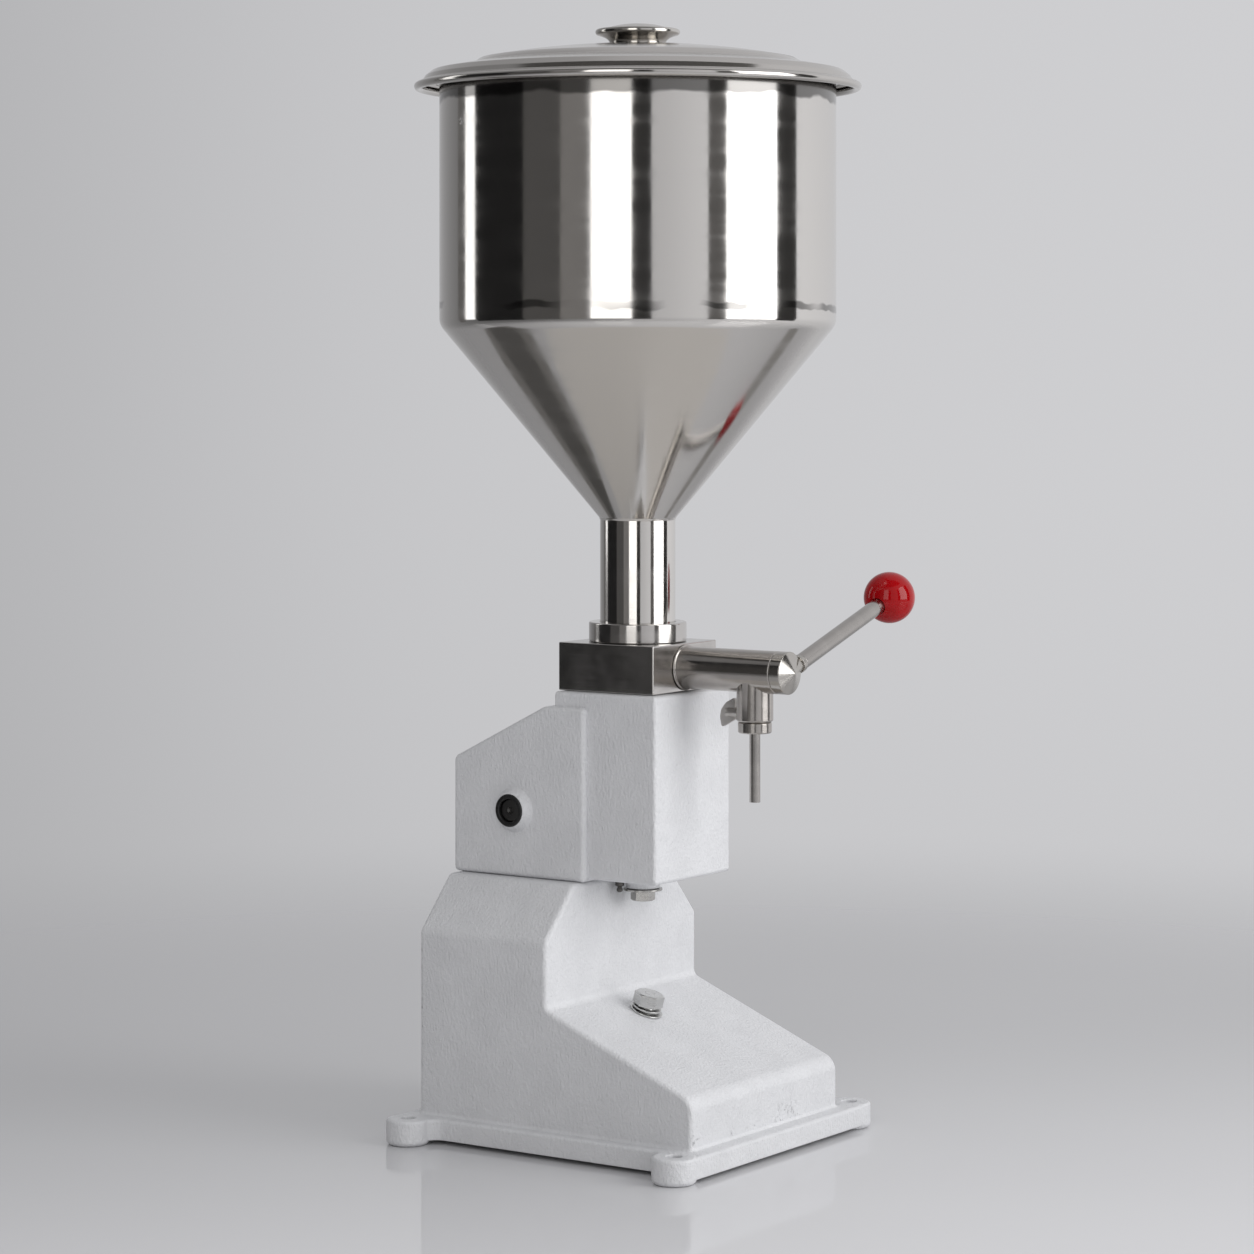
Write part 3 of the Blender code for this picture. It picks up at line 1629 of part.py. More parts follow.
knob_z = crown_z + seat_gap
knob_rim = arc(
    (knob_rim_radius - knob_rim_section, knob_z + knob_rim_height),
    knob_rim_section,
    -math.pi / 2,
    math.pi / 2,
    arc_steps,
)
knob_profile = [
    (0, knob_z + knob_hole_depth),
    (screw_hole_radius, knob_z + knob_hole_depth),
    (screw_hole_radius, knob_z),
    (knob_foot_radius, knob_z),
    (knob_waist_radius, knob_z + knob_flare_height / 2),
    (knob_flare_radius, knob_z + knob_flare_height),
    *knob_rim,
    (knob_rim_radius / 2, knob_z + (knob_height + knob_rim_height + knob_rim_section) / 2),
    (0, knob_z + knob_height),
]
node("lid_knob", turned(knob_profile, sides_medium), polished_steel, on_axis)
knob_screw_bearing = crown_z - lid_thickness - seat_gap
knob_screw = turned(
    [
        (0, knob_screw_bearing - knob_screw_head),
        (knob_screw_head_radius, knob_screw_bearing - knob_screw_head),
        (knob_screw_head_radius, knob_screw_bearing),
        (knob_screw_radius, knob_screw_bearing),
        (knob_screw_radius, knob_z + knob_hole_depth - seat_gap),
        (0, knob_z + knob_hole_depth - seat_gap),
    ],
    sides_tiny,
)
node("lid_knob_screw", knob_screw, zinc_steel, on_axis)
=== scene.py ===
import math

import bmesh
import bpy
from mathutils import Matrix, Vector


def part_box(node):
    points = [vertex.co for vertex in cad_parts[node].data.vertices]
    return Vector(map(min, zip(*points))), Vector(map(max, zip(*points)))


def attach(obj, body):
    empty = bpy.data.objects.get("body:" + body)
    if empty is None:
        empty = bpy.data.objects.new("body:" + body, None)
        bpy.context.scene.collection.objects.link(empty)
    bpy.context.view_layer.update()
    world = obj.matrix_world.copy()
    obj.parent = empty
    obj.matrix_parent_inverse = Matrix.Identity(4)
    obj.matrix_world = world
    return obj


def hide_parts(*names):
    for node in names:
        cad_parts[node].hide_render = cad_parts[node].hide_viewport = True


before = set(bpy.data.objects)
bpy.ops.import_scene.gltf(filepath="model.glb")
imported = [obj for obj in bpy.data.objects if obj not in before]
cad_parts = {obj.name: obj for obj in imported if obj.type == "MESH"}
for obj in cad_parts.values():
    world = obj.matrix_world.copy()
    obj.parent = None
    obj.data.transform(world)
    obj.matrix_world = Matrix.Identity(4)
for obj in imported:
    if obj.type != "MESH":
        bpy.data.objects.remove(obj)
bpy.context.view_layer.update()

# Stand. One iron casting: a tower with cut shoulders, a ramp, and a foot plate with four bolt
# lugs, open underneath. It is fettled by hand and sprayed with a light grey hammered paint,
# which rounds the edges, fills the inner corners and is chipped here and there.
stand_half = 0.095
stand_front = 0.1091
stand_back = 0.1239
stand_height = 0.186
nose_height = 0.052
nose_rounding = 0.008
ramp_top = 0.1025
tower_front = 0.0129
shoulder_height = 0.1487
tower_top_half = 0.061
corner_rounding = 0.0035
inner_corner = 0.006
casting_wall = 0.007
foot_low = 0.003
foot_high = 0.018
foot_middle = 0.0059
foot_half = 0.1045
foot_edge = 0.0025
lug_x = 0.114
lug_y = 0.1135
lug_radius = 0.0155
lug_blend = 0.010
lug_rise = 0.0004
lug_foot = 0.004
lug_hole = 0.0055
paint_fillet = 0.0028
ramp_angle = math.atan2(ramp_top - nose_height, tower_front + stand_front)


def add(tree, kind, values=(), **settings):
    """A shader node with its settings. Each input takes a value or another node's output."""
    item = tree.nodes.new("ShaderNode" + kind)
    for name, value in settings.items():
        setattr(item, name, value)
    for key, value in dict(values).items():
        if isinstance(value, bpy.types.NodeSocket):
            tree.links.new(value, item.inputs[key])
        else:
            item.inputs[key].default_value = value
    return item


def sums(tree, operation, *terms, clamp=False):
    """One step of arithmetic."""
    return add(tree, "Math", enumerate(terms), operation=operation, use_clamp=clamp).outputs[0]


def times(tree, one, other):
    return sums(tree, "MULTIPLY", one, other)


def plus(tree, one, other, clamp=False):
    return sums(tree, "ADD", one, other, clamp=clamp)


def drive(item, label, value):
    """Links a value to an input of a shader or of a group's output node."""
    item.id_data.links.new(value, item.inputs[label])


def between(tree, value, low, high, to_low=0.0, to_high=1.0):
    """A value carried from one range to another, held at both ends."""
    places = {0: value, 1: low, 2: high, 3: to_low, 4: to_high}
    return add(tree, "MapRange", places, interpolation_type="SMOOTHSTEP").outputs[0]


def noise(tree, where, size, detail=3.0, roughness=0.5):
    """Noise with patches about this size, in metres."""
    places = {"Vector": where, "Scale": 1 / size, "Detail": detail, "Roughness": roughness}
    return add(tree, "TexNoise", places).outputs["Fac"]


def tinted(tree, share, one, other):
    """A colour between two, by share."""
    mixer = add(tree, "Mix", {"Factor": share}, data_type="RGBA")
    mixer.inputs["A"].default_value = (*one, 1)
    if isinstance(other, bpy.types.NodeSocket):
        tree.links.new(other, mixer.inputs["B"])
    else:
        mixer.inputs["B"].default_value = (*other, 1)
    return mixer.outputs["Result"]


def effect(name, inputs, outputs):
    """An empty group of shader nodes, with its named inputs and outputs."""
    tree = bpy.data.node_groups.new(name, "ShaderNodeTree")
    for label, value in inputs.items():
        socket = tree.interface.new_socket(label, in_out="INPUT", socket_type="NodeSocketFloat")
        socket.default_value = value
    for label, kind in outputs.items():
        tree.interface.new_socket(label, in_out="OUTPUT", socket_type="NodeSocket" + kind)
    return tree, tree.nodes.new("NodeGroupInput"), tree.nodes.new("NodeGroupOutput")


def placed(tree, group, **values):
    """An effect put into a material, with this material's values."""
    item = tree.nodes.new("ShaderNodeGroup")
    item.node_tree = group
    for label, value in values.items():
        item.inputs[label.replace("_", " ").capitalize()].default_value = value
    return item.outputs


def finish(name, colour, roughness, metallic=0.0, **more):
    """A new material. The values that are the same all over sit on its own shader."""
    material = bpy.data.materials.new(name)
    material.use_nodes = True
    tree = material.node_tree
    shader = tree.nodes["Principled BSDF"]
    shader.inputs["Base Color"].default_value = (*colour, 1)
    shader.inputs["Roughness"].default_value = roughness
    shader.inputs["Metallic"].default_value = metallic
    for label, value in more.items():
        shader.inputs[label.replace("_", " ").title()].default_value = value
    where = add(tree, "TexCoord").outputs["Object"]
    return material, tree, shader, where


def relief(tree, shader, height, depth, strength=1.0, under=None):
    """A bump of this depth in metres on the shader's normal."""
    item = add(tree, "Bump", {"Height": height, "Strength": strength, "Distance": depth})
    if under:
        tree.links.new(under, item.inputs["Normal"])
    drive(shader, "Normal", item.outputs[0])
    return item.outputs[0]


# Effect: rubbed or chipped edges. It is 1 on outer edges, broken up by noise of the given size
edge_rub, given, taken = effect(
    "edge_rub", {"Start": 0.52, "Patches": 0.004}, {"Mask": "Float", "Edge": "Float"}
)
pointed = add(edge_rub, "NewGeometry").outputs["Pointiness"]
edge = between(edge_rub, pointed, given.outputs["Start"], plus(
    edge_rub, given.outputs["Start"], 0.06))
patch_scale = sums(edge_rub, "DIVIDE", 1.0, given.outputs["Patches"])
patches = add(edge_rub, "TexNoise", {
    "Vector": add(edge_rub, "TexCoord").outputs["Object"],
    "Scale": patch_scale, "Detail": 4.0, "Roughness": 0.6})
broken = between(edge_rub, patches.outputs["Fac"], 0.52, 0.66)
drive(taken, "Mask", times(edge_rub, edge, broken))
drive(taken, "Edge", edge)

# Effect: handling marks, a soft cloudy mask that dulls a gloss in patches
handling, given, taken = effect(
    "handling_marks", {"Patch size": 0.03}, {"Mask": "Float"}
)
mark_scale = sums(handling, "DIVIDE", 1.0, given.outputs["Patch size"])
cloud = add(handling, "TexNoise", {
    "Vector": add(handling, "TexCoord").outputs["Object"],
    "Scale": mark_scale, "Detail": 5.0, "Roughness": 0.62, "Distortion": 0.6})
drive(taken, "Mask", between(handling, cloud.outputs["Fac"], 0.35, 0.7))

# Hammered paint: fine orange peel with short slanting strokes over a slightly wavy casting
paint, tree, shader, where = finish("cast_paint", (0.70, 0.705, 0.72), 0.42)
slanted = add(tree, "Mapping", {
    "Vector": where, "Rotation": (math.radians(48), 0, math.radians(12)), "Scale": (1, 1, 0.34)})
peel = noise(tree, where, 0.0021, 2.0)
strokes = noise(tree, slanted.outputs[0], 0.0016, 2.0, 0.55)
fine = noise(tree, where, 0.0007, 2.0)
waves = noise(tree, where, 0.028, 2.0)
grain = plus(tree, times(tree, peel, 0.5), times(tree, strokes, 0.8))
grain = plus(tree, grain, times(tree, fine, 0.18))
rub = placed(tree, edge_rub, start=0.535, patches=0.0022)
pits = add(tree, "TexVoronoi", {"Vector": where, "Scale": 13.0, "Randomness": 1.0})
pit = between(tree, pits.outputs["Distance"], 0.008, 0.014, 1.0, 0.0)
chip = times(tree, rub["Mask"], between(tree, noise(tree, where, 0.02), 0.56, 0.62))
bare = sums(tree, "MAXIMUM", times(tree, chip, 0.5), times(tree, pit, 0.75))
tone = tinted(tree, between(tree, waves, 0.3, 0.7), (0.685, 0.69, 0.705), (0.72, 0.725, 0.74))
drive(shader, "Base Color", tinted(tree, bare, (0.6, 0.6, 0.6), (0.16, 0.16, 0.165)))
last_mix = shader.inputs["Base Color"].links[0].from_node
tree.links.new(tone, last_mix.inputs["A"])
gloss = between(tree, placed(tree, handling, patch_size=0.035)["Mask"], 0.0, 1.0, 0.36, 0.47)
drive(shader, "Roughness", plus(tree, gloss, times(tree, bare, 0.25)))
wavy = relief(tree, shader, waves, 0.0016, 0.35)
relief(tree, shader, sums(tree, "SUBTRACT", grain, times(tree, bare, 0.9)), 0.00110, 0.9, wavy)


def arc(centre, radius, start, end, steps):
    """Points of a circular arc, both ends with it."""
    turns = [start + (end - start) * step / steps for step in range(steps + 1)]
    return [(centre[0] + radius * math.cos(t), centre[1] + radius * math.sin(t)) for t in turns]


def rounded(points, radius, steps=5):
    """A line whose inner corners are rounded. The radius is one value, or one for each point."""
    line = [points[0]]
    for index in range(1, len(points) - 1):
        r = radius if isinstance(radius, float) else radius[index]
        here, before, after = (Vector(points[i]) for i in (index, index - 1, index + 1))
        to_before, to_after = (before - here), (after - here)
        angle = to_before.angle(to_after)
        if not r or angle > math.radians(178):
            line.append(tuple(here))
            continue
        reach = min(r / math.tan(angle / 2), to_before.length * 0.49, to_after.length * 0.49)
        r = reach * math.tan(angle / 2)
        middle = (to_before.normalized() + to_after.normalized()).normalized()
        centre = here + middle * (r / math.sin(angle / 2))
        first = here + to_before.normalized() * reach - centre
        last = here + to_after.normalized() * reach - centre
        start = math.atan2(first.y, first.x)
        sweep = math.atan2(first.x * last.y - first.y * last.x, first.dot(last))
        line += arc(centre, r, start, start + sweep, steps)
    return line + [points[-1]]


def closed_rounded(points, radius, steps=5):
    """A closed outline with all its corners rounded."""
    middle = tuple((Vector(points[0]) + Vector(points[-1])) / 2)
    line = [middle, *points, middle]
    radii = radius if isinstance(radius, float) else [0, *radius, 0]
    return rounded(line, radii, steps)[:-1]


def turned(profile, sides=64, sweep=math.tau):
    """A body turned about Z from (radius, height) points: a loop, or a chain from axis to axis."""
    bm = bmesh.new()
    points = [bm.verts.new((radius, 0, height)) for radius, height in profile]
    edges = [bm.edges.new(pair) for pair in zip(points, points[1:])]
    if profile[0][0] > 0:
        edges.append(bm.edges.new((points[-1], points[0])))
    bmesh.ops.spin(
        bm, geom=points + edges, cent=(0, 0, 0), axis=(0, 0, 1), angle=sweep, steps=sides
    )
    bmesh.ops.remove_doubles(bm, verts=bm.verts, dist=0.000001)
    if sweep < math.tau:
        ends = [e for e in bm.edges if e.is_boundary]
        bmesh.ops.holes_fill(bm, edges=ends, sides=0)
    bmesh.ops.recalc_face_normals(bm, faces=bm.faces)
    return bm


def bar(radius, low, high, sides):
    """A round bar about Z between two heights."""
    return turned([(0, low), (radius, low), (radius, high), (0, high)], sides)


def prism(outline, start, end, axis):
    """An outline extruded along one axis. Its numbers are the other two axes, in XYZ order."""
    place = {
        "X": lambda a, b, along: (along, a, b),
        "Y": lambda a, b, along: (a, along, b),
        "Z": lambda a, b, along: (a, b, along),
    }[axis]
    bm = bmesh.new()
    first = [bm.verts.new(place(a, b, start)) for a, b in outline]
    last = [bm.verts.new(place(a, b, end)) for a, b in outline]
    bm.faces.new(first)
    bm.faces.new(last)
    for index, point in enumerate(first):
        after = (index + 1) % len(first)
        bm.faces.new((point, first[after], last[after], last[index]))
    bmesh.ops.recalc_face_normals(bm, faces=bm.faces)
    return bm


def block(low, high):
    """A box between two corners."""
    bm = bmesh.new()
    low, high = Vector(low), Vector(high)
    size = Matrix.Diagonal((*(high - low), 1))
    bmesh.ops.create_cube(bm, size=1, matrix=Matrix.Translation((low + high) / 2) @ size)
    return bm


def softened(bm, width, steps, wanted):
    """Rounds the edges that wanted() picks."""
    edges = [edge for edge in bm.edges if wanted(edge)]
    bmesh.ops.bevel(bm, geom=edges, offset=width, segments=steps, profile=0.5, affect="EDGES")
    return bm


def outer(edge):
    return len(edge.link_faces) == 2 and edge.calc_face_angle_signed() > math.radians(25)


def shifted(bm, place, turn=(0, 0, 0)):
    """The same shape, turned and moved."""
    x, y, z = turn
    spin = Matrix.Rotation(z, 4, "Z") @ Matrix.Rotation(y, 4, "Y") @ Matrix.Rotation(x, 4, "X")
    bmesh.ops.transform(bm, matrix=Matrix.Translation(place) @ spin, verts=bm.verts)
    return bm


def combined(bm, *steps):
    """A shape after each step joins another one to it, cuts one out or keeps what they share."""
    made = []
    for shape in (bm, *(other for _, other in steps)):
        mesh = bpy.data.meshes.new("shape")
        shape.to_mesh(mesh)
        shape.free()
        made.append(bpy.data.objects.new("shape", mesh))
        bpy.context.scene.collection.objects.link(made[-1])
    for (operation, _), tool in zip(steps, made[1:]):
        step = made[0].modifiers.new("step", "BOOLEAN")
        step.operation = {"join": "UNION", "cut": "DIFFERENCE", "share": "INTERSECT"}[operation]
        step.object = tool
        step.solver = "EXACT"
    bpy.context.view_layer.update()
    result = bmesh.new()
    result.from_object(made[0], bpy.context.evaluated_depsgraph_get())
    for item in made:
        mesh = item.data
        bpy.data.objects.remove(item)
        bpy.data.meshes.remove(mesh)
    return result


def piece(name, bm, material, body, stands_for, place=(0, 0, 0), turn=(0, 0, 0), crease=32):
    """A finished piece of the machine: its mesh, its place, its material and its body."""
    mesh = bpy.data.meshes.new(name)
    bm.to_mesh(mesh)
    bm.free()
    mesh.shade_smooth()
    mesh.set_sharp_from_angle(angle=math.radians(crease))
    made = bpy.data.objects.new(name, mesh)
    bpy.context.scene.collection.objects.link(made)
    made.location = place
    made.rotation_euler = turn
    mesh.materials.append(material)
    normals = made.modifiers.new("even_normals", "WEIGHTED_NORMAL")
    normals.keep_sharp = True
    normals.weight = 60
    bpy.context.view_layer.update()
    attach(made, body)
    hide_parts(*stands_for)
    return made


def stand_side(low, corner, inset=0.0):
    """The side view of the stand. The corner is what lies between its ramp and its tower."""
    lean = inset * math.tan((math.pi / 2 - ramp_angle) / 2)
    return [
        (-stand_front + inset, low),
        (stand_back - inset, low),
        (stand_back - inset, stand_height - inset),
        (tower_front + inset, stand_height - inset),
        *corner,
        (-stand_front + inset, nose_height - lean),
    ]


def shoulders_cut(bm, inset):
    """Takes both shoulders off the tower, each along one slanted plane."""
    run = stand_half - tower_top_half
    rise = stand_height - shoulder_height
    for side in (-1, 1):
        normal = Vector((side * rise, 0, run)).normalized()
        on_plane = Vector((side * stand_half, 0, shoulder_height)) - normal * inset
        geometry = bm.verts[:] + bm.edges[:] + bm.faces[:]
        rims = bmesh.ops.bisect_plane(
            bm, geom=geometry, dist=0.000001, plane_co=on_plane, plane_no=normal, clear_outer=True
        )["geom_cut"]
        loops = [part for part in rims if isinstance(part, bmesh.types.BMEdge)]
        bmesh.ops.holes_fill(bm, edges=loops, sides=0)
    bmesh.ops.recalc_face_normals(bm, faces=bm.faces)
    return bm


def lugs_outline(radius, steps):
    """The foot plate with a lug at each corner, led into its sides by hollow arcs."""
    centre_x = foot_half + lug_blend
    centre_y = lug_y - math.sqrt((radius + lug_blend) ** 2 - (lug_x - centre_x) ** 2)
    towards = math.atan2(lug_y - centre_y, lug_x - centre_x)
    corner = arc((centre_x, centre_y), lug_blend, math.pi, towards, steps)
    corner += arc((lug_x, lug_y), radius, towards - math.pi, math.pi / 2, 3 * steps)[1:]
    back = corner + [(-x, y) for x, y in reversed(corner)]
    return [(x, y + foot_middle) for x, y in back + [(-x, -y) for x, y in back]]


tangent = inner_corner / math.tan((math.pi / 2 + ramp_angle) / 2)
hollow_corner = arc(
    (tower_front - inner_corner, ramp_top + tangent), inner_corner, 0, ramp_angle - math.pi / 2, 8
)
stand = shoulders_cut(
    prism(stand_side(foot_low + 0.001, hollow_corner), -stand_half, stand_half, "X"), 0
)
softened(stand, nose_rounding, 8, lambda e: all(abs(v.co.z - nose_height) < 1e-6 for v in e.verts))
softened(
    stand, corner_rounding, 5, lambda e: outer(e) and any(v.co.z > foot_high for v in e.verts)
)
foot = prism(lugs_outline(lug_radius - lug_rise, 8), foot_low, foot_high, "Z")
softened(foot, foot_edge, 4, lambda e: all(abs(v.co.z - foot_high) < 1e-6 for v in e.verts))
softened(foot, 0.0012, 2, lambda e: all(abs(v.co.z - foot_low) < 1e-6 for v in e.verts))
lug_profile = rounded([(0, 0), (lug_radius, 0), (lug_radius, foot_high + lug_rise),
                       (0, foot_high + lug_rise)], [0, lug_foot, 0.0022, 0], 6)
lug_spots = [(sx * lug_x, foot_middle + sy * lug_y) for sx in (-1, 1) for sy in (-1, 1)]
hole_profile = [(0, -0.01), (lug_hole, -0.01), (lug_hole, foot_high + lug_rise - 0.0006),
                (lug_hole + 0.002, foot_high + lug_rise + 0.0014), (0, foot_high + lug_rise + 0.0014)]
# paint and filler round the stand's foot, a small hollow fillet
foot_line = closed_rounded(
    [(-stand_half, -stand_front), (stand_half, -stand_front), (stand_half, stand_back),
     (-stand_half, stand_back)], corner_rounding, 5)
fillet = bmesh.new()
rows = []
for step in range(7):
    turn = math.pi / 2 * step / 6
    out = paint_fillet * (1 - math.sin(turn)) - 0.0003 * (step == 6)
    up = foot_high - 0.0003 + paint_fillet * (1 - math.cos(turn)) * 1.1
    row = []
    for index, point in enumerate(foot_line):
        before, after = Vector(foot_line[index - 1]), Vector(foot_line[(index + 1) % len(foot_line)])
        along = (after - before).normalized()
        row.append(fillet.verts.new((*(Vector(point) + Vector((along.y, -along.x)) * out), up)))
    rows.append(row)
for low, high in zip(rows, rows[1:]):
    for index in range(len(low)):
        after = (index + 1) % len(low)
        fillet.faces.new((low[index], low[after], high[after], high[index]))
fillet.faces.new(rows[0][::-1])
fillet.faces.new(rows[-1])
bmesh.ops.recalc_face_normals(fillet, faces=fillet.faces)
under = stand_side(-0.01, [(tower_front + casting_wall, ramp_top - casting_wall / math.cos(
    ramp_angle) + casting_wall * math.tan(ramp_angle))], casting_wall)
under[-1] = (-stand_front + casting_wall,
             nose_height - casting_wall / math.cos(ramp_angle) + casting_wall * math.tan(ramp_angle))
inner_half = stand_half - casting_wall
hollow = shoulders_cut(prism(under, -inner_half, inner_half, "X"), casting_wall)
softened(hollow, 0.003, 3, lambda e: outer(e) and all(v.co.z > 0 for v in e.verts))
steps = [("join", foot), ("join", fillet)]
steps += [("join", shifted(turned(lug_profile, 64), (x, y, 0))) for x, y in lug_spots]
steps += [("cut", hollow)]
steps += [("cut", shifted(turned(hole_profile, 40), (x, y, 0))) for x, y in lug_spots]
head_bolt_spots = [(x, y) for x in (-0.036, 0.036) for y in (0.032, 0.108)]
steps += [("cut", shifted(bar(0.0043, 0.17, 0.2, 32), (x, y, 0)))
          for x, y in head_bolt_spots]
steps += [("cut", block((-0.022, 0.048, 0.17), (0.022, 0.092, 0.2)))]
ramp_bolt_y = -0.0127
ramp_bolt_place = (-0.0084, ramp_bolt_y, nose_height + (stand_front + ramp_bolt_y) * math.tan(ramp_angle))
bolt_lean = math.radians(7)
into_ramp = (math.pi + ramp_angle, 0, 0)
along_bolt = (math.pi + ramp_angle - bolt_lean, 0, 0)
steps += [("cut", shifted(bar(0.0063, -0.01, 0.02, 40),
                          ramp_bolt_place, along_bolt))]
piece("stand", combined(stand, *steps), paint, "machine", ["base_casting"])

# Ramp bolt. A bright zinc-plated M12 hex bolt through the ramp, over a spring washer with a slit
# and a flat washer, with a nut under the ramp. It is cold-headed, its corners are chamfered.
seat_gap = 0.0003
ramp_washer = 0.0012
ramp_spring = 0.0014
spring_radius = 0.0105
washer_hole = 0.0066

# Effect: rings left by the lathe, or by a pad on a turning piece, about Z. Lines per metre
lathe_rings, given, taken = effect(
    "lathe_rings", {"Lines": 1400.0}, {"Rings": "Float", "Bands": "Float"}
)
parts = add(lathe_rings, "SeparateXYZ", {0: add(lathe_rings, "TexCoord").outputs["Object"]}).outputs
radius_there = sums(lathe_rings, "SQRT", plus(
    lathe_rings, sums(lathe_rings, "POWER", sums(lathe_rings, "ABSOLUTE", parts[0]), 2.0),
    sums(lathe_rings, "POWER", sums(lathe_rings, "ABSOLUTE", parts[1]), 2.0)))
round_it = plus(lathe_rings, times(lathe_rings, parts[0], 24.0), times(
    lathe_rings, parts[1], 31.0))
ring_lines = add(lathe_rings, "CombineXYZ", {
    0: times(lathe_rings, radius_there, given.outputs["Lines"]),
    1: times(lathe_rings, parts[2], given.outputs["Lines"]), 2: round_it})
rings = add(lathe_rings, "TexNoise", {
    "Vector": ring_lines.outputs[0], "Scale": 1.0, "Detail": 3.0, "Roughness": 0.6})
wider = add(lathe_rings, "VectorMath", {0: ring_lines.outputs[0], 1: (0.06, 0.06, 0.7)},
            operation="MULTIPLY")
bands = add(lathe_rings, "TexNoise", {
    "Vector": wider.outputs[0], "Scale": 1.0, "Detail": 2.0, "Roughness": 0.5})
drive(taken, "Rings", rings.outputs["Fac"])
drive(taken, "Bands", bands.outputs["Fac"])

# Effect: a few thin stray scratches
scratches, given, taken = effect("stray_scratches", {"Spread": 30.0}, {"Mask": "Float"})
at = add(scratches, "TexCoord").outputs["Object"]
found = None
for turn, stretch in (((20, 35, 50), 0.10), ((-50, 10, -25), 0.16)):
    laid = add(scratches, "Mapping", {
        "Vector": at, "Rotation": tuple(math.radians(t) for t in turn), "Scale": (1, stretch, 1)})
    cells = add(scratches, "TexVoronoi", {
        "Vector": laid.outputs[0], "Scale": given.outputs["Spread"]}, feature="DISTANCE_TO_EDGE")
    thin = between(scratches, cells.outputs["Distance"], 0.0, 0.006, 1.0, 0.0)
    some = add(scratches, "TexNoise", {"Vector": laid.outputs[0], "Scale": given.outputs["Spread"]})
    thin = times(scratches, thin, between(scratches, some.outputs["Fac"], 0.60, 0.70))
    found = sums(scratches, "MAXIMUM", found, thin) if found else thin
drive(taken, "Mask", found)


def steel(name, colour, roughness, spread, lines, ring_depth, along=0.0, turn=0.25, **more):
    """Steel that was turned or polished round an axis. Its gloss is drawn out across the rings."""
    values = {"Anisotropic": along, "Anisotropic_Rotation": turn, **more}
    material, tree, shader, where = finish(name, colour, roughness, 1.0, **values)
    marks = placed(tree, lathe_rings, lines=lines)
    cloud = placed(tree, handling, patch_size=0.045)["Mask"]
    lines_mask = placed(tree, scratches, spread=34.0)["Mask"]
    rub = placed(tree, edge_rub, start=0.54, patches=0.003)
    rough = between(tree, marks["Bands"], 0.3, 0.7, roughness - spread, roughness + spread)
    rough = plus(tree, rough, times(tree, cloud, spread * 0.8))
    rough = plus(tree, rough, times(tree, lines_mask, 0.05))
    drive(shader, "Roughness", sums(tree, "SUBTRACT", rough, times(
        tree, rub["Edge"], roughness * 0.3)))
    light = tuple(min(1, c * 1.12) for c in colour)
    darkened = tuple(c * 0.93 for c in colour)
    share = plus(tree, times(tree, rub["Edge"], 0.7), between(
        tree, marks["Bands"], 0.35, 0.75, 0.0, 0.45), clamp=True)
    drive(shader, "Base Color", tinted(tree, share, darkened, light))
    ground = sums(tree, "SUBTRACT", marks["Rings"], times(tree, lines_mask, 0.2))
    relief(tree, shader, ground, ring_depth, 0.6)
    return material, tree, shader, where


zinc = steel("bright_zinc", (0.60, 0.60, 0.59), 0.24, 0.05, 2600.0, 0.00002)[0]


def hex_solid(corner, low, high):
    """A plain six-sided bar between two heights, a corner on +X."""
    outline = [(corner * math.cos(math.radians(60 * k)), corner * math.sin(math.radians(60 * k)))
               for k in range(6)]
    return prism(outline, low, high, "Z")


def hex_head(corner, height, bearing_radius):
    """A bolt's head below zero: its corners chamfered, a round washer face on its bearing side."""
    top = -height
    chamfer = corner * 0.17
    skin = [(0, top), (corner - chamfer, top), (corner + 0.0004, top + chamfer * 0.62),
            (corner + 0.0004, 0.001), (0, 0.001)]
    head = combined(hex_solid(corner, top, -0.0004), ("share", turned(skin, 96)))
    softened(head, 0.0002, 2, outer)
    face = bar(bearing_radius, -0.0006, 0, 64)
    dish = turned([(corner * 0.30, top - 0.001), (corner * 0.34, top - 0.001),
                   (corner * 0.34, top + 0.00012), (corner * 0.30, top + 0.00012)], 64)
    return combined(head, ("join", face), ("cut", dish))


def threaded(radius, low, high, pitch):
    """A bolt's shank with its thread as ridges, chamfered at its tip."""
    count = int((high - low) / pitch)
    profile = [(0, low)]
    for index in range(count):
        z = low + index * pitch
        profile += [(radius * 0.93, z), (radius, z + pitch * 0.5)]
    profile += [(radius * 0.93, high - pitch * 0.6), (radius * 0.82, high), (0, high)]
    return turned(profile, 40)


flat_top = -seat_gap - ramp_washer
wedge = seat_gap + spring_radius * math.tan(bolt_lean / 2)
spring_low = flat_top - wedge
spring_top = spring_low - ramp_spring
bearing = spring_top - wedge
shank = threaded(0.006, -0.0005, casting_wall + 0.0147 - bearing, 0.00175)
bolt = combined(hex_head(0.011, 0.0088, 0.0088), ("join", shank))
away = Matrix.Rotation(along_bolt[0], 4, "X") @ Vector((0, 0, bearing))
piece("ramp_bolt_bright", bolt, zinc, "machine", ["ramp_bolt"],
      Vector(ramp_bolt_place) + away, along_bolt)
flat = closed_rounded([(washer_hole, flat_top), (0.012, flat_top), (0.012, -seat_gap),
                       (washer_hole, -seat_gap)], 0.0004, 3)
piece("ramp_washer_flat", turned(flat, 72), zinc, "machine", ["ramp_flat_washer"],
      ramp_bolt_place, into_ramp)
coil = closed_rounded([(washer_hole, spring_top), (spring_radius, spring_top), (spring_radius, spring_low),
                       (washer_hole, spring_low)], 0.0003, 3)
half_way = (math.pi + ramp_angle - bolt_lean / 2, 0, 0)
spring_ring = turned(coil, 64, math.radians(348))
for v in spring_ring.verts:
    lift = (math.atan2(v.co.y, v.co.x) % math.tau) / math.tau
    v.co.z += (lift - 0.5) * 0.0003
piece("ramp_washer_spring", spring_ring, zinc, "machine", ["ramp_spring_washer"],
      ramp_bolt_place, half_way)


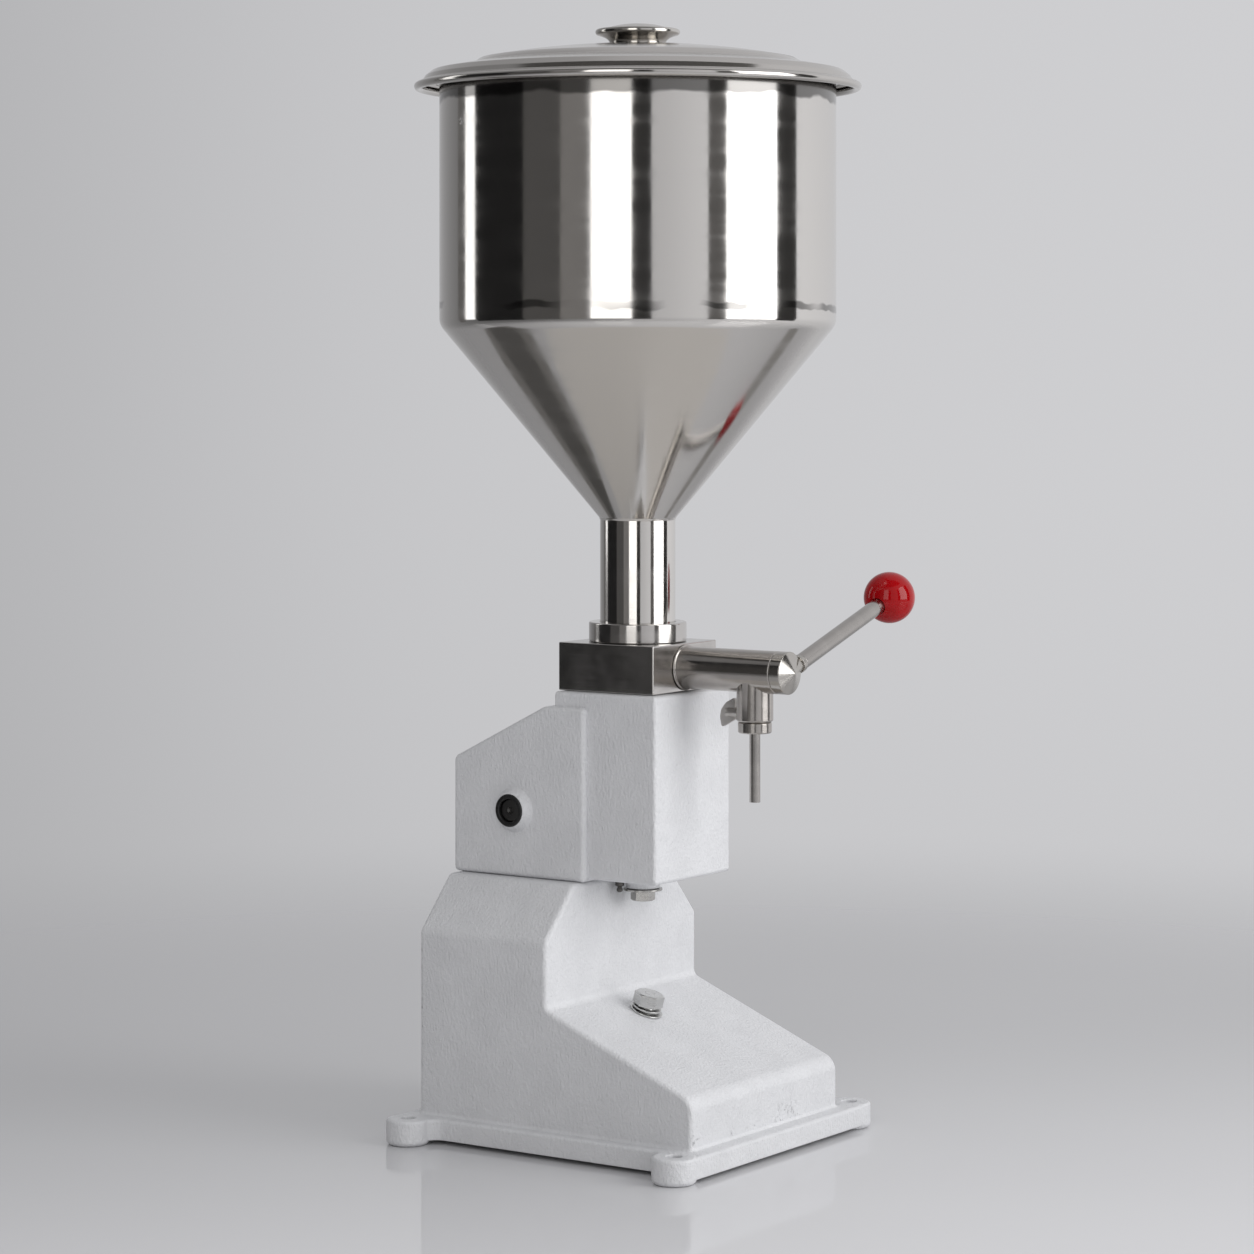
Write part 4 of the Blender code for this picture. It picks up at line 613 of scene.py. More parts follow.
def dressed(names, material):
    """Model nodes whose shape is right as it is: they get this material."""
    for name in names:
        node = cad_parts[name]
        node.data.materials.clear()
        node.data.materials.append(material)


corners = ["front_left", "front_right", "back_left", "back_right"]
dressed(["ramp_bolt_nut", *("head_bolt_" + c for c in corners)], zinc)

# Head. The second iron casting, bolted on the tower: a tall box over the pump and a wider
# housing over the shaft, with a hub on each side for its bush. Same paint as the stand.
head_low = stand_height + seat_gap
head_front_low = head_low + 0.0017
head_top = head_front_low + 0.132
head_front = -0.0477
front_half = 0.048
front_back = 0.0397
rear_half = 0.053
rear_start = 0.0099
rear_back = 0.1252
slope_start = 0.0448
slope_top = head_low + 0.1232
slope_low = head_low + 0.0828
head_wall = 0.006
head_rounding = 0.0028
shaft_y = 0.0709
shaft_z = head_low + 0.0477
hub_end = 0.0595

rear_side = [(rear_start, head_low), (rear_back, head_low), (rear_back, slope_low),
             (slope_start, slope_top), (rear_start, slope_top)]
shell = softened(
    block((-front_half, head_front, head_front_low), (front_half, front_back, head_top)),
    head_rounding, 5, outer)
rear = softened(prism(rear_side, -rear_half, rear_half, "X"), head_rounding + 0.0006, 5, outer)
hub_line = [(0, -hub_end), (0.0126, -hub_end), (0.016, -rear_half + 0.0004), (0.019, -rear_half + 0.0002),
            (0.019, 0), (0, 0)]
hub_line = rounded(hub_line, [0, 0.0012, 0.0022, 0, 0, 0], 6)
bore_line = [(0, -0.07), (0.0118, -0.07), (0.0118, 0.07), (0, 0.07)]
inner_low, inner_high = -front_half + head_wall, front_half - head_wall
rear_inner = [(rear_start + head_wall, head_low + head_wall), (rear_back - head_wall, head_low + head_wall),
              (rear_back - head_wall, slope_low - head_wall * 0.62),
              (slope_start + head_wall * 0.35, slope_top - head_wall),
              (rear_start + head_wall, slope_top - head_wall)]
facing_right = (0, math.radians(90), 0)
facing_left = (0, -math.radians(90), 0)
facing_front = (math.radians(90), 0, 0)
stroke_y = -0.0045
pad_low = head_front_low - 0.0097
pad_high = head_front_low + 0.004
pad_line = rounded([(0, pad_low), (0.012, pad_low), (0.0132, pad_high), (0, pad_high)], [0, 0.0008, 0, 0])
steps = [
    ("join", rear),
    ("join", shifted(turned(hub_line, 96), (0, shaft_y, shaft_z), facing_right)),
    ("join", shifted(turned(hub_line, 96), (0, shaft_y, shaft_z), facing_left)),
    ("join", shifted(turned(pad_line, 72), (0, stroke_y, 0))),
    ("cut", block((inner_low, head_front + head_wall, head_front_low + head_wall),
                  (inner_high, front_back - head_wall, head_top - head_wall))),
    ("cut", prism(rear_inner, -rear_half + head_wall, rear_half - head_wall, "X")),
]
boss_low, boss_high, bolt_end = head_low + 0.0027, head_low + 0.0140, head_low + 0.0118
under, over, roof, sky = head_low - 0.02, head_low + 0.02, head_top - 0.02, head_top + 0.02
boss_line = [(0, boss_low), (0.012, boss_low), (0.0114, boss_high), (0, boss_high)]
steps += [("join", shifted(turned(boss_line, 48), (x, y, 0))) for x, y in head_bolt_spots]
steps += [("cut", shifted(bar(0.0043, under, bolt_end, 32), (x, y, 0)))
          for x, y in head_bolt_spots]
steps += [
    ("cut", block((-0.022, 0.048, under), (0.022, 0.092, head_low + 0.0087))),
    ("cut", shifted(turned(bore_line, 72), (0, shaft_y, shaft_z), facing_right)),
    ("cut", shifted(bar(0.0053, under, over, 32), (0, stroke_y, 0))),
    ("cut", shifted(bar(0.0025, under, over, 24), (-0.014, 0.0061, 0))),
    ("cut", bar(0.0243, roof, sky, 72)),
]
block_screw_spots = [(x, y) for x in (-0.026, 0.026) for y in (-0.026, 0.026)]
steps += [("cut", shifted(bar(0.0043, roof, sky, 24), (x, y, 0))) for x, y in block_screw_spots]
piece("head", combined(shell, *steps), paint, "machine", ["head_casting"])

# Stroke bolt. A bright M10 hex bolt that hangs under the head with a wide washer; its tip stops
# the rocker arm, so it sets the dose. Beside it is the small steel nipple that greases the arm.
stroke_washer_top = pad_low - seat_gap
stroke_bearing = stroke_washer_top - 0.0015 - seat_gap
stroke_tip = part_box("stroke_bolt")[1][2]
stainless_bolt = steel("bright_bolt", (0.50, 0.49, 0.47), 0.22, 0.05, 2600.0, 0.00002)[0]
hanging = combined(hex_head(0.0088, 0.007, 0.0074), (
    "join", threaded(0.005, -0.0005, stroke_tip - stroke_bearing, 0.0015)))
piece("stroke_bolt_bright", hanging, stainless_bolt, "stroke_adjuster", ["stroke_bolt"],
      (0, stroke_y, stroke_bearing))
wide = closed_rounded([(0.0053, -0.0015), (0.014, -0.0015), (0.014, 0), (0.0053, 0)], 0.0004, 3)
piece("stroke_washer_wide", turned(wide, 72), stainless_bolt, "stroke_adjuster", ["stroke_washer"],
      (0, stroke_y, stroke_washer_top))
dark = steel("dark_oiled_steel", (0.13, 0.125, 0.12), 0.36, 0.07, 1800.0, 0.00003)[0]
nipple = [(0, -0.0122), (0.0012, -0.0122), (0.0022, -0.0112), (0.0021, -0.0098), (0.0016, -0.0090),
          (0.0018, -0.0082), (0.0032, -0.0074), (0.0032, -0.0003), (0.0022, -0.0003), (0.0022, 0.0057),
          (0, 0.0057)]
nipple = rounded(nipple, [0, 0.0004, 0.0003, 0.0003, 0.0003, 0.0003, 0.0004, 0, 0, 0, 0], 4)
piece("nipple", turned(nipple, 40), dark, "machine", ["grease_nipple"],
      (-0.014, 0.0061, head_front_low))

# Shaft. A dark ground steel bar across the head, in two black moulded bushes, held by circlips.
# A forged arm is keyed on it and lifts the piston rod's pin in its slot.
bush_black, tree, shader, where = finish("black_bearing", (0.012, 0.012, 0.012), 0.32)
moulded = noise(tree, where, 0.0006, 2.0)
cloud = placed(tree, handling, patch_size=0.006)["Mask"]
drive(shader, "Roughness", between(tree, cloud, 0.0, 1.0, 0.24, 0.42))
rub = placed(tree, edge_rub, start=0.54, patches=0.0015)
drive(shader, "Base Color", tinted(tree, rub["Mask"], (0.011, 0.011, 0.011), (0.05, 0.05, 0.052)))
relief(tree, shader, moulded, 0.00004, 0.7)
for side, turn in ((-1, -math.radians(90)), (1, math.radians(90))):
    label = "left" if side < 0 else "right"
    ring_line = [(0.0083, 0.0473), (0.0115, 0.0473), (0.0115, 0.0603), (0.0083, 0.0603)]
    ring_line = closed_rounded(ring_line, [0.0003, 0.0003, 0.0008, 0.0007], 5)
    piece("bush_" + label, turned(ring_line, 96), bush_black, "machine", ["shaft_bush_" + label],
          (0, shaft_y, shaft_z), (0, turn, 0))
shaft_line = [(0, -0.0564), (0.0012, -0.0564), (0.0024, -0.0578), (0.0080, -0.0578), (0.0080, -0.0473),
              (0.0069, -0.0473), (0.0069, -0.0455), (0.0080, -0.0455)]
shaft_line += [(r, -z) for r, z in reversed(shaft_line)]
shaft_line = rounded(shaft_line, [0, 0, 0.0003, 0.0007] + [0] * 8 + [0.0007, 0.0003, 0, 0], 4)
shaft_dark = steel("dark_ground_steel", (0.10, 0.098, 0.095), 0.30, 0.06, 1600.0, 0.00003)[0]
piece("shaft", turned(shaft_line, 72), shaft_dark, "rocker", ["rocker_shaft"],
      (0, shaft_y, shaft_z), facing_right)

# Effect: the skin of rough or ground stock, a fine even grain with a few low spots
skin_grain, given, taken = effect(
    "stock_grain", {"Grain size": 0.0008}, {"Height": "Float", "Spots": "Float"})
at = add(skin_grain, "TexCoord").outputs["Object"]
grain_scale = sums(skin_grain, "DIVIDE", 1.0, given.outputs["Grain size"])
even = add(skin_grain, "TexNoise", {"Vector": at, "Scale": grain_scale, "Detail": 3.0, "Roughness": 0.6})
low_spots = add(skin_grain, "TexNoise", {
    "Vector": at, "Scale": times(skin_grain, grain_scale, 0.09), "Detail": 3.0})
drive(taken, "Height", even.outputs["Fac"])
drive(taken, "Spots", between(skin_grain, low_spots.outputs["Fac"], 0.45, 0.7))

forged, tree, shader, where = finish("oiled_forging", (0.11, 0.106, 0.10), 0.42, 1.0)
grain = placed(tree, skin_grain, grain_size=0.0012)
rub = placed(tree, edge_rub, start=0.52, patches=0.003)
drive(shader, "Roughness", between(tree, grain["Spots"], 0.0, 1.0, 0.34, 0.52))
drive(shader, "Base Color", tinted(tree, rub["Edge"], (0.10, 0.097, 0.092), (0.24, 0.235, 0.23)))
relief(tree, shader, grain["Height"], 0.00015, 0.6)
dressed(["rocker_arm"], forged)
dressed(["shaft_circlip_left", "shaft_circlip_right"], dark)
dressed(["arm_key"], stainless_bolt)

# Pump. A honed stainless barrel hangs under the valve block by its flange. A piston with two
# rubber rings runs in it, on a ground rod that a black guide leads. Four screws hold the block.
inner_steel, tree, shader, where = steel(
    "ground_stainless", (0.56, 0.55, 0.53), 0.20, 0.05, 2200.0, 0.00001, along=0.5)
turned_inner = steel("turned_stainless", (0.54, 0.53, 0.51), 0.30, 0.06, 1500.0, 0.00003, along=0.4)[0]
rubber, tree, shader, where = finish("black_rubber", (0.018, 0.018, 0.018), 0.55)
grain = placed(tree, skin_grain, grain_size=0.0005)
dust = placed(tree, handling, patch_size=0.004)["Mask"]
drive(shader, "Base Color", tinted(tree, dust, (0.016, 0.016, 0.016), (0.034, 0.033, 0.032)))
drive(shader, "Roughness", between(tree, grain["Spots"], 0.0, 1.0, 0.48, 0.62))
relief(tree, shader, grain["Height"], 0.00005, 0.6)
dressed(["pump_cylinder", "piston_rod"], inner_steel)
dressed(["piston"], turned_inner)
dressed(["piston_nut", *("block_screw_" + c for c in corners)], zinc)
dressed(["rod_pin", "rod_pin_clip_left", "rod_pin_clip_right"], dark)
dressed(["rod_guide"], bush_black)
dressed(["piston_seal_lower", "piston_seal_upper", "cylinder_o_ring"], rubber)

# Valve block. A milled square block of stainless steel, screwed down on the head. Its faces are
# ground with a fine level grain, and its edges are broken by a narrow bright bevel.
block_half_x = 0.0406
block_half_y = 0.04065
block_low = head_top + seat_gap
block_top = block_low + 0.0343
outlet_z = (block_low + block_top) / 2
pipe_start = -0.03065

# Effect: the straight, level grain of a ground face, with slow cloudy changes along it
ground_face, given, taken = effect(
    "ground_face", {"Lines": 1500.0}, {"Lines": "Float", "Drift": "Float"}
)
at = add(ground_face, "TexCoord").outputs["Object"]
parts = add(ground_face, "SeparateXYZ", {0: at}).outputs
level = add(ground_face, "CombineXYZ", {
    0: times(ground_face, parts[0], 26.0), 1: times(ground_face, parts[1], 26.0),
    2: times(ground_face, parts[2], given.outputs["Lines"])})
fine_lines = add(ground_face, "TexNoise", {
    "Vector": level.outputs[0], "Scale": 1.0, "Detail": 4.0, "Roughness": 0.65})
drift = add(ground_face, "TexNoise", {"Vector": at, "Scale": 38.0, "Detail": 3.0, "Roughness": 0.55})
drive(taken, "Lines", fine_lines.outputs["Fac"])
drive(taken, "Drift", between(ground_face, drift.outputs["Fac"], 0.3, 0.7))

block_steel, tree, shader, where = finish(
    "ground_block_steel", (0.36, 0.35, 0.335), 0.16, 1.0, Anisotropic=0.5, Anisotropic_Rotation=0.25)
drive(shader, "Tangent", add(tree, "Tangent", direction_type="RADIAL", axis="Z").outputs[0])
face = placed(tree, ground_face, lines=2600.0)
scratch = placed(tree, scratches, spread=17.0)["Mask"]
rub = placed(tree, edge_rub, start=0.515, patches=0.004)
rough = between(tree, face["Lines"], 0.3, 0.7, 0.13, 0.18)
rough = plus(tree, rough, times(tree, face["Drift"], 0.05))
rough = plus(tree, rough, times(tree, scratch, 0.06))
drive(shader, "Roughness", rough)
share = plus(tree, times(tree, rub["Edge"], 0.9), times(
    tree, face["Drift"], 0.25), clamp=True)
# painted light: faces turned to the front (-Y) get a lighter base colour, as if the key lamp lit them
toward = add(tree, "SeparateXYZ", {0: add(tree, "TexCoord").outputs["Normal"]}).outputs[1]
share = plus(tree, share, between(tree, toward, -0.9, -0.7, 0.45, 0.0), clamp=True)
drive(shader, "Base Color", tinted(tree, share, (0.33, 0.32, 0.305), (0.60, 0.58, 0.56)))
relief(tree, shader, sums(tree, "SUBTRACT", face["Lines"], times(
    tree, scratch, 0.3)), 0.000012, 0.6)

cube = softened(block((-block_half_x, -block_half_y, block_low), (block_half_x, block_half_y, block_top)),
                0.0009, 4, outer)
under, over = block_low - 0.02, block_top + 0.02
flange_seat, shelf, screw_end = block_low + 0.0043, block_top - 0.0083, block_low + 0.0123
chamber = [(0, under), (0.0293, under), (0.0293, flange_seat), (0.020, flange_seat), (0.020, shelf),
           (0.0223, shelf), (0.0223, over), (0, over)]
port = [(0, 0), (0.008, 0), (0.008, -pipe_start - 0.0003), (0.0133, -pipe_start - 0.0003),
        (0.0133, 0.05), (0, 0.05)]
steps = [("cut", turned(chamber, 96)), ("cut", shifted(turned(port, 64), (0, 0, outlet_z), facing_front))]
steps += [("cut", shifted(bar(0.0043, under, screw_end, 24), (x, y, 0))) for x, y in block_screw_spots]
piece("valve_block_ground", combined(cube, *steps), block_steel, "machine", ["valve_block"])

# Inlet valve. A turned seat under the hopper's neck and a steel ball that drops from it into a
# milled cage, so that paste comes down as the piston goes down.
ball_steel, tree, shader, where = finish("bearing_ball", (0.60, 0.59, 0.58), 0.08, 1.0)
cloud = placed(tree, handling, patch_size=0.004)["Mask"]
drive(shader, "Roughness", between(tree, cloud, 0.0, 1.0, 0.05, 0.14))
marks = placed(tree, scratches, spread=160.0)["Mask"]
drive(shader, "Base Color", tinted(tree, marks, (0.60, 0.59, 0.58), (0.45, 0.44, 0.43)))
relief(tree, shader, marks, 0.00001, 0.5)
dressed(["inlet_ball", "outlet_ball"], ball_steel)
dressed(["inlet_seat", "inlet_cage", "outlet_seat", "spring_stop"], turned_inner)
dressed(["outlet_spring"], zinc)

# Outlet pipe. A thick stainless tube with a weld ring at the block and the nozzle's socket
# welded under it. It is polished along its length after welding, so the socket's joint is crisp.
block_front = -0.04065
pipe_length = 0.0789
pipe_radius = 0.015
nozzle_y = -0.09945
pipe_line = rounded([(0, -0.010), (0.013, -0.010), (0.013, 0.0003), (0.0160, 0.0003), (0.0163, 0.0009),
                     (0.0158, 0.0014), (pipe_radius, 0.0017), (pipe_radius, pipe_length - 0.0006),
                     (pipe_radius - 0.0006, pipe_length), (0, pipe_length)],
                    [0, 0, 0, 0.0003, 0.0003, 0.0003, 0.0004, 0.0003, 0.0003, 0], 4)
socket_line = rounded([(0, -0.035), (0.012, -0.035), (0.013, -0.034), (0.013, 0), (0, 0)],
                      [0, 0.0005, 0.0005, 0, 0], 4)
socket_hole = [(0, -0.04), (0.0085, -0.04), (0.0085, -0.0212), (0.0055, -0.0212), (0.0055, 0), (0, 0)]
pipe_steel = steel("polished_pipe", (0.45, 0.425, 0.40), 0.17, 0.02, 1500.0, 0.000012, along=0.6)[0]
pipe_origin = (0, block_front, outlet_z)
nozzle_place = (0, nozzle_y, outlet_z)

# the mesh lies along its own Z, so that the rings of its finish run round it
upright = Matrix.Rotation(-math.radians(90), 4, "X")


def off_pipe(bm, place, turn=(0, 0, 0)):
    """A shape given where it is on the machine, turned into the pipe's own upright frame."""
    shifted(bm, place, turn)
    bmesh.ops.transform(bm, matrix=upright @ Matrix.Translation(-Vector(pipe_origin)), verts=bm.verts)
    return bm


stop_y = block_front - 0.0436
wing_z = outlet_z - 0.0295
pipe = combined(
    turned(pipe_line, 128),
    ("join", off_pipe(turned(socket_line, 96), nozzle_place)),
    ("cut", bar(0.011, -0.02, 0.09, 64)),
    ("cut", off_pipe(turned(socket_hole, 64), nozzle_place)),
    ("cut", off_pipe(bar(0.0028, 0.009, 0.02, 32),
                     (0, stop_y, outlet_z), facing_right)),
    ("cut", off_pipe(bar(0.0028, -0.02, -0.006, 24),
                     (0, nozzle_y, wing_z), facing_front)),
)
piece("outlet_pipe_polished", pipe, pipe_steel, "machine", ["outlet_pipe"],
      pipe_origin, facing_front)

# Stop screw. A dark headless screw with a hexagon socket in the pipe's far side. Its tip runs in
# the plug's groove and keeps the plug in.
grub = [(0, 0.0089), (0.0012, 0.0089), (0.0025, 0.0096), (0.0025, 0.0147), (0.0022, 0.0150), (0, 0.0150)]
grub = combined(turned(rounded(grub, 0.0002, 2), 40), ("cut", hex_solid(0.0014, 0.0128, 0.02)))
piece("stop_screw", grub, dark, "machine", ["plug_stop_screw"],
      (0, stop_y, outlet_z), facing_right)

# Plug. One turned piece: a plug that turns in the pipe, its cap with a low cone on the end, and
# the lever's socket welded on the cap. The cone is faced on the lathe, with fine rings.
cap_start = 0.0792
cap_end = 0.0877
plug_line = [(0, 0.0658), (0.006, 0.0658), (0.006, 0.039), (0.0106, 0.039)]
for along in (0.0493, 0.069):
    plug_line += [(0.0106, along - 0.0011), (0.0088, along - 0.0011), (0.0088, along + 0.0011),
                  (0.0106, along + 0.0011)]
plug_line += [(0.0106, cap_start), (0.0146, cap_start), (0.015, cap_start + 0.0004),
              (0.015, cap_end - 0.0005), (0.0146, cap_end), (0.0008, cap_end + 0.0044), (0, cap_end + 0.0045)]
plug_line = rounded(plug_line, [0] * 12 + [0, 0.0003, 0.0003, 0.0004, 0.0004, 0.0006, 0], 4)
lever_lean = math.radians(17.7)
lever_y = -0.12535
along_lever = (0, math.radians(90) - lever_lean, 0)
lever_spot = (0, lever_y, outlet_z)
neck_line = rounded([(0, 0.006), (0.0052, 0.006), (0.0052, 0.0154), (0.0064, 0.0154), (0.0064, 0.0195),
                     (0, 0.0195)], [0, 0, 0, 0.0004, 0.0006, 0], 4)
plug_steel = steel("turned_plug", (0.49, 0.47, 0.44), 0.17, 0.03, 1500.0, 0.00002, along=0.6)[0]
plug = combined(
    turned(plug_line, 128),
    ("join", off_pipe(turned(neck_line, 72), lever_spot, along_lever)),
    ("cut", off_pipe(bar(0.0055, -0.02, 0, 40), nozzle_place)),
    ("cut", off_pipe(bar(0.0043, 0.006, 0.03, 32),
                     lever_spot, along_lever)),
)
piece("plug_with_socket", plug, plug_steel, "outlet_plug", ["valve_plug"],
      pipe_origin, facing_front)
dressed(["plug_o_ring_inner", "plug_o_ring_outer"], rubber)

# Lever. A polished steel rod screwed into the socket, and a glossy red moulded ball on its end.
lever_length = 0.1483
ball_radius = 0.0187
ball_face = lever_length - ball_radius
rod_line = rounded([(0, 0.0063), (0.0040, 0.0063), (0.0040, 0.0198), (0.0058, 0.0198),
                    (0.0058, ball_face + 0.0037), (0.0040, ball_face + 0.0037),
                    (0.0040, ball_face + 0.0137), (0, ball_face + 0.0137)],
                   [0, 0, 0, 0.0005, 0.0003, 0, 0, 0], 4)
rod_steel = steel("polished_lever", (0.42, 0.40, 0.38), 0.10, 0.015, 2000.0, 0.000003, along=0.3)[0]
piece("lever_bar", turned(rod_line, 72), rod_steel, "outlet_plug", ["lever_rod"],
      lever_spot, along_lever)
hole = 0.0061
start = -math.acos(hole / ball_radius)
ball_line = [(0, ball_face + 0.014), (0.0043, ball_face + 0.014), (0.0043, ball_face + 0.004),
             (hole, ball_face + 0.004),
             *arc((0, lever_length), ball_radius, start, math.pi / 2, 48)[:-1],
             (0, lever_length + ball_radius)]
red, tree, shader, where = finish("glossy_red", (0.34, 0.001, 0.003), 0.05)
shader.inputs["IOR"].default_value = 1.36
flow = noise(tree, where, 0.012, 3.0)
flow = between(tree, flow, 0.3, 0.7)
drive(shader, "Base Color", tinted(tree, flow, (0.32, 0.0008, 0.0025), (0.36, 0.0015, 0.004)))
cloud = placed(tree, handling, patch_size=0.012)["Mask"]
marks = placed(tree, scratches, spread=90.0)["Mask"]
drive(shader, "Roughness", plus(tree, between(tree, cloud, 0.0, 1.0, 0.05, 0.11), times(
    tree, marks, 0.08)))
relief(tree, shader, noise(tree, where, 0.006, 1.0), 0.00006, 0.25)
piece("ball_knob", turned(ball_line, 96), red, "outlet_plug", ["lever_ball"],
      lever_spot, along_lever)

# Nozzle. A thin polished tube hangs from a flange, which a plain round nut holds up in the
# socket against a rubber washer.
socket_face = outlet_z - 0.035
nut_top = socket_face - seat_gap
nut_low = nut_top - 0.0078
nut_line = closed_rounded(
    [(0.0042, nut_low), (0.0112, nut_low), (0.012, nut_low + 0.0008), (0.012, nut_top - 0.0008),
     (0.0112, nut_top), (0.0082, nut_top), (0.0082, nut_top + 0.0092), (0.0042, nut_top + 0.0092)],
    [0.0003, 0.0004, 0.0004, 0.0004, 0.0004, 0, 0.0003, 0.0003], 4)
piece("nut_round", turned(nut_line, 96), pipe_steel, "machine", ["nozzle_nut"],
      (0, nozzle_y, 0))
tip_low = nut_top - 0.0565
tip_line = closed_rounded(
    [(0.0028, tip_low), (0.0039, tip_low), (0.0039, nut_top + 0.0095), (0.0082, nut_top + 0.0095),
     (0.0082, nut_top + 0.0119), (0.0028, nut_top + 0.0119)], [0.0004, 0.0004, 0, 0, 0, 0], 4)
tip_steel = steel("polished_tip", (0.45, 0.43, 0.41), 0.11, 0.02, 2400.0, 0.000004, along=0.3)[0]
piece("nozzle_tube", turned(tip_line, 72), tip_steel, "machine", ["nozzle_tip"],
      (0, nozzle_y, 0))
dressed(["nozzle_seal", "collar_seal"], rubber)

# Wing screw. A pressed flat wing on a small slotted screw behind the socket; it locks the nut.
wing_start = 0.0158
wing_shares = ((0, 0.29), (0.90, 0), (1, 0.35), (0.93, 0.58), (0.60, 0.82), (0, 1))
wing_line = [(wing_start + a * 0.0126, b * 0.0218 - 0.0111) for a, b in wing_shares]
wing_line = closed_rounded(wing_line, [0.0008, 0.0014, 0.003, 0.006, 0.006, 0.0012], 6)
wing = softened(prism(wing_line, -0.0015, 0.0015, "X"), 0.0004, 3, outer)
shank = rounded([(0, -0.0221), (0.0034, -0.0221), (0.0034, -0.0133), (0.0025, -0.0133),
                 (0.0025, -0.0085), (0, -0.0085)], [0, 0.0005, 0.0003, 0, 0.0002, 0], 3)
head_line = rounded([(0, 0.0006), (0.0030, 0.0006), (0.0030, 0.0027), (0, 0.0030)], [0, 0.0002, 0.0006, 0], 4)
middle = (0, wing_start + 0.0058, -0.0002)
wing = combined(
    wing, ("join", shifted(turned(shank, 48), (0, 0, 0), facing_front)),
    ("join", shifted(turned(head_line, 48), middle, facing_left)),
    ("cut", shifted(block((-0.0004, -0.004, 0.0021), (0.0004, 0.004, 0.005)), middle,
                    facing_left)),
)
wing_steel = steel("pressed_wing", (0.50, 0.48, 0.46), 0.26, 0.07, 1200.0, 0.00005)[0]
piece("wing", wing, wing_steel, "clamp_wing", ["wing_screw"], (0, nozzle_y, wing_z))

# Collar. A polished turned ring, screwed into the block, that carries the hopper's neck.
collar_low = block_top + seat_gap
collar_high = collar_low + 0.0137
neck_seat = collar_low + 0.0028
collar_line = closed_rounded(
    [(0.018, collar_low - 0.0045), (0.022, collar_low - 0.0045), (0.022, collar_low), (0.0287, collar_low),
     (0.0287, collar_low + 0.0023), (0.0313, collar_low + 0.0023), (0.0313, collar_low), (0.035, collar_low),
     (0.035, collar_high),
     (0.0273, collar_high), (0.0273, neck_seat), (0.018, neck_seat)],
    [0, 0, 0, 0, 0, 0, 0, 0.0006, 0.0012, 0.0004, 0, 0.0004], 5)
collar_steel = steel("polished_collar", (0.58, 0.56, 0.54), 0.15, 0.04, 1800.0, 0.000012, along=0.6)[0]
piece("collar_turned", turned(collar_line, 160), collar_steel, "machine", ["neck_collar"])

# Hopper. Stainless sheet, 1.5 mm thick: a rolled barrel and a spun cone welded to a tube neck,
# with the rim rolled outwards. The barrel is polished round and round; the welds are ground flat.
neck_radius = 0.027
neck_low = neck_seat + seat_gap
neck_top = neck_low + 0.0845
cone_top = neck_top + 0.1384
barrel_radius = 0.142
rim_z = cone_top + 0.176
rim_section = 0.0046
rim_middle = 0.1424
sheet = 0.0015
shoulder_bend = 0.013
cone_angle = math.atan2(cone_top - neck_top, barrel_radius - neck_radius)


def hopper_wall(inset, steps):
    """The wall from the neck's foot to the barrel, at a distance inside its outer face."""
    turn = math.pi / 2 - cone_angle
    lean = inset * math.tan(turn / 2)
    bend = shoulder_bend - inset
    weld = [] if inset else [
        (neck_radius, neck_top - 0.0011), (neck_radius + 0.00035, neck_top - 0.0007),
        (neck_radius + 0.0005, neck_top - 0.0001), (neck_radius + 0.0009, neck_top + 0.0008)]
    line = [(neck_radius - inset, neck_low + 0.0002), *(weld or [(neck_radius - inset, neck_top + lean)])]
    centre = (barrel_radius - inset - bend, cone_top + lean + bend * math.tan(turn / 2))
    return line + arc(centre, bend, -turn, 0, steps)


join_turn = math.acos((barrel_radius - rim_middle) / rim_section)
leave_turn = math.acos((barrel_radius - sheet - rim_middle) / rim_section)
rim = arc((rim_middle, rim_z), rim_section, -join_turn, math.tau - leave_turn, 28)
hopper_line = hopper_wall(0, 14) + rim + hopper_wall(sheet, 10)[::-1]


def hopper_material(name, roughness, along, ring_depth, colour):
    """Rolled and polished sheet: level polishing lines, a dimple, and a painted reflection in dark patches
    above the bend and a painted shade band under the rim.
    """
    material, tree, shader, where = steel(
        name, colour, roughness, 0.03, 1500.0, ring_depth, along=along)
    dimple = add(tree, "VectorMath", {0: where, 1: (-0.1270, 0.0618, rim_z - 0.0343)}, operation="DISTANCE")
    pit = between(tree, dimple.outputs["Value"], 0.0006, 0.0026, 1.0, 0.0)
    under = shader.inputs["Normal"].links[0].from_socket
    bent = relief(tree, shader, times(tree, pit, -1.0), 0.0012, 1.0, under)
    relief(tree, shader, noise(tree, where, 0.060, 1.0), 0.0010, 0.10, bent)
    height = add(tree, "SeparateXYZ", {0: where}).outputs[2]
    ragged = times(tree, sums(tree, "SUBTRACT", noise(tree, where, 0.030, 2.0), 0.5), 0.012)
    height = plus(tree, height, ragged)
    # painted shade: a dark band round the barrel's top, under the lid's rim, on the hopper only
    painted_shade_under_lid = between(tree, height, rim_z - 0.0195, rim_z - 0.0165)
    # painted reflection: ragged dark patches just above the cone's bend, where the barrel mirrors the darker
    # floor
    at_bend = times(tree, between(tree, height, cone_top + 0.009, cone_top + 0.0105),
                   between(tree, height, cone_top + 0.0135, cone_top + 0.0155, 1.0, 0.0))
    painted_reflection_patches = between(tree, noise(tree, where, 0.075, 1.0), 0.42, 0.55, 0.0, 0.75)
    # these painted shade and painted reflection masks take the base colour down to 0.12 of the steel's colour
    darkened = plus(tree, times(tree, at_bend, painted_reflection_patches), times(
        tree, painted_shade_under_lid, 0.8 if name == "polished_hopper" else 0.0), clamp=True)
    drive(shader, "Base Color", tinted(tree, darkened, colour, tuple(c * 0.12 for c in colour)))
    return material


hopper_steel = hopper_material("polished_hopper", 0.11, 0.6, 0.000006, (0.66, 0.64, 0.615))
piece("hopper_shell", turned(hopper_line, 256), hopper_steel, "machine", ["hopper"])

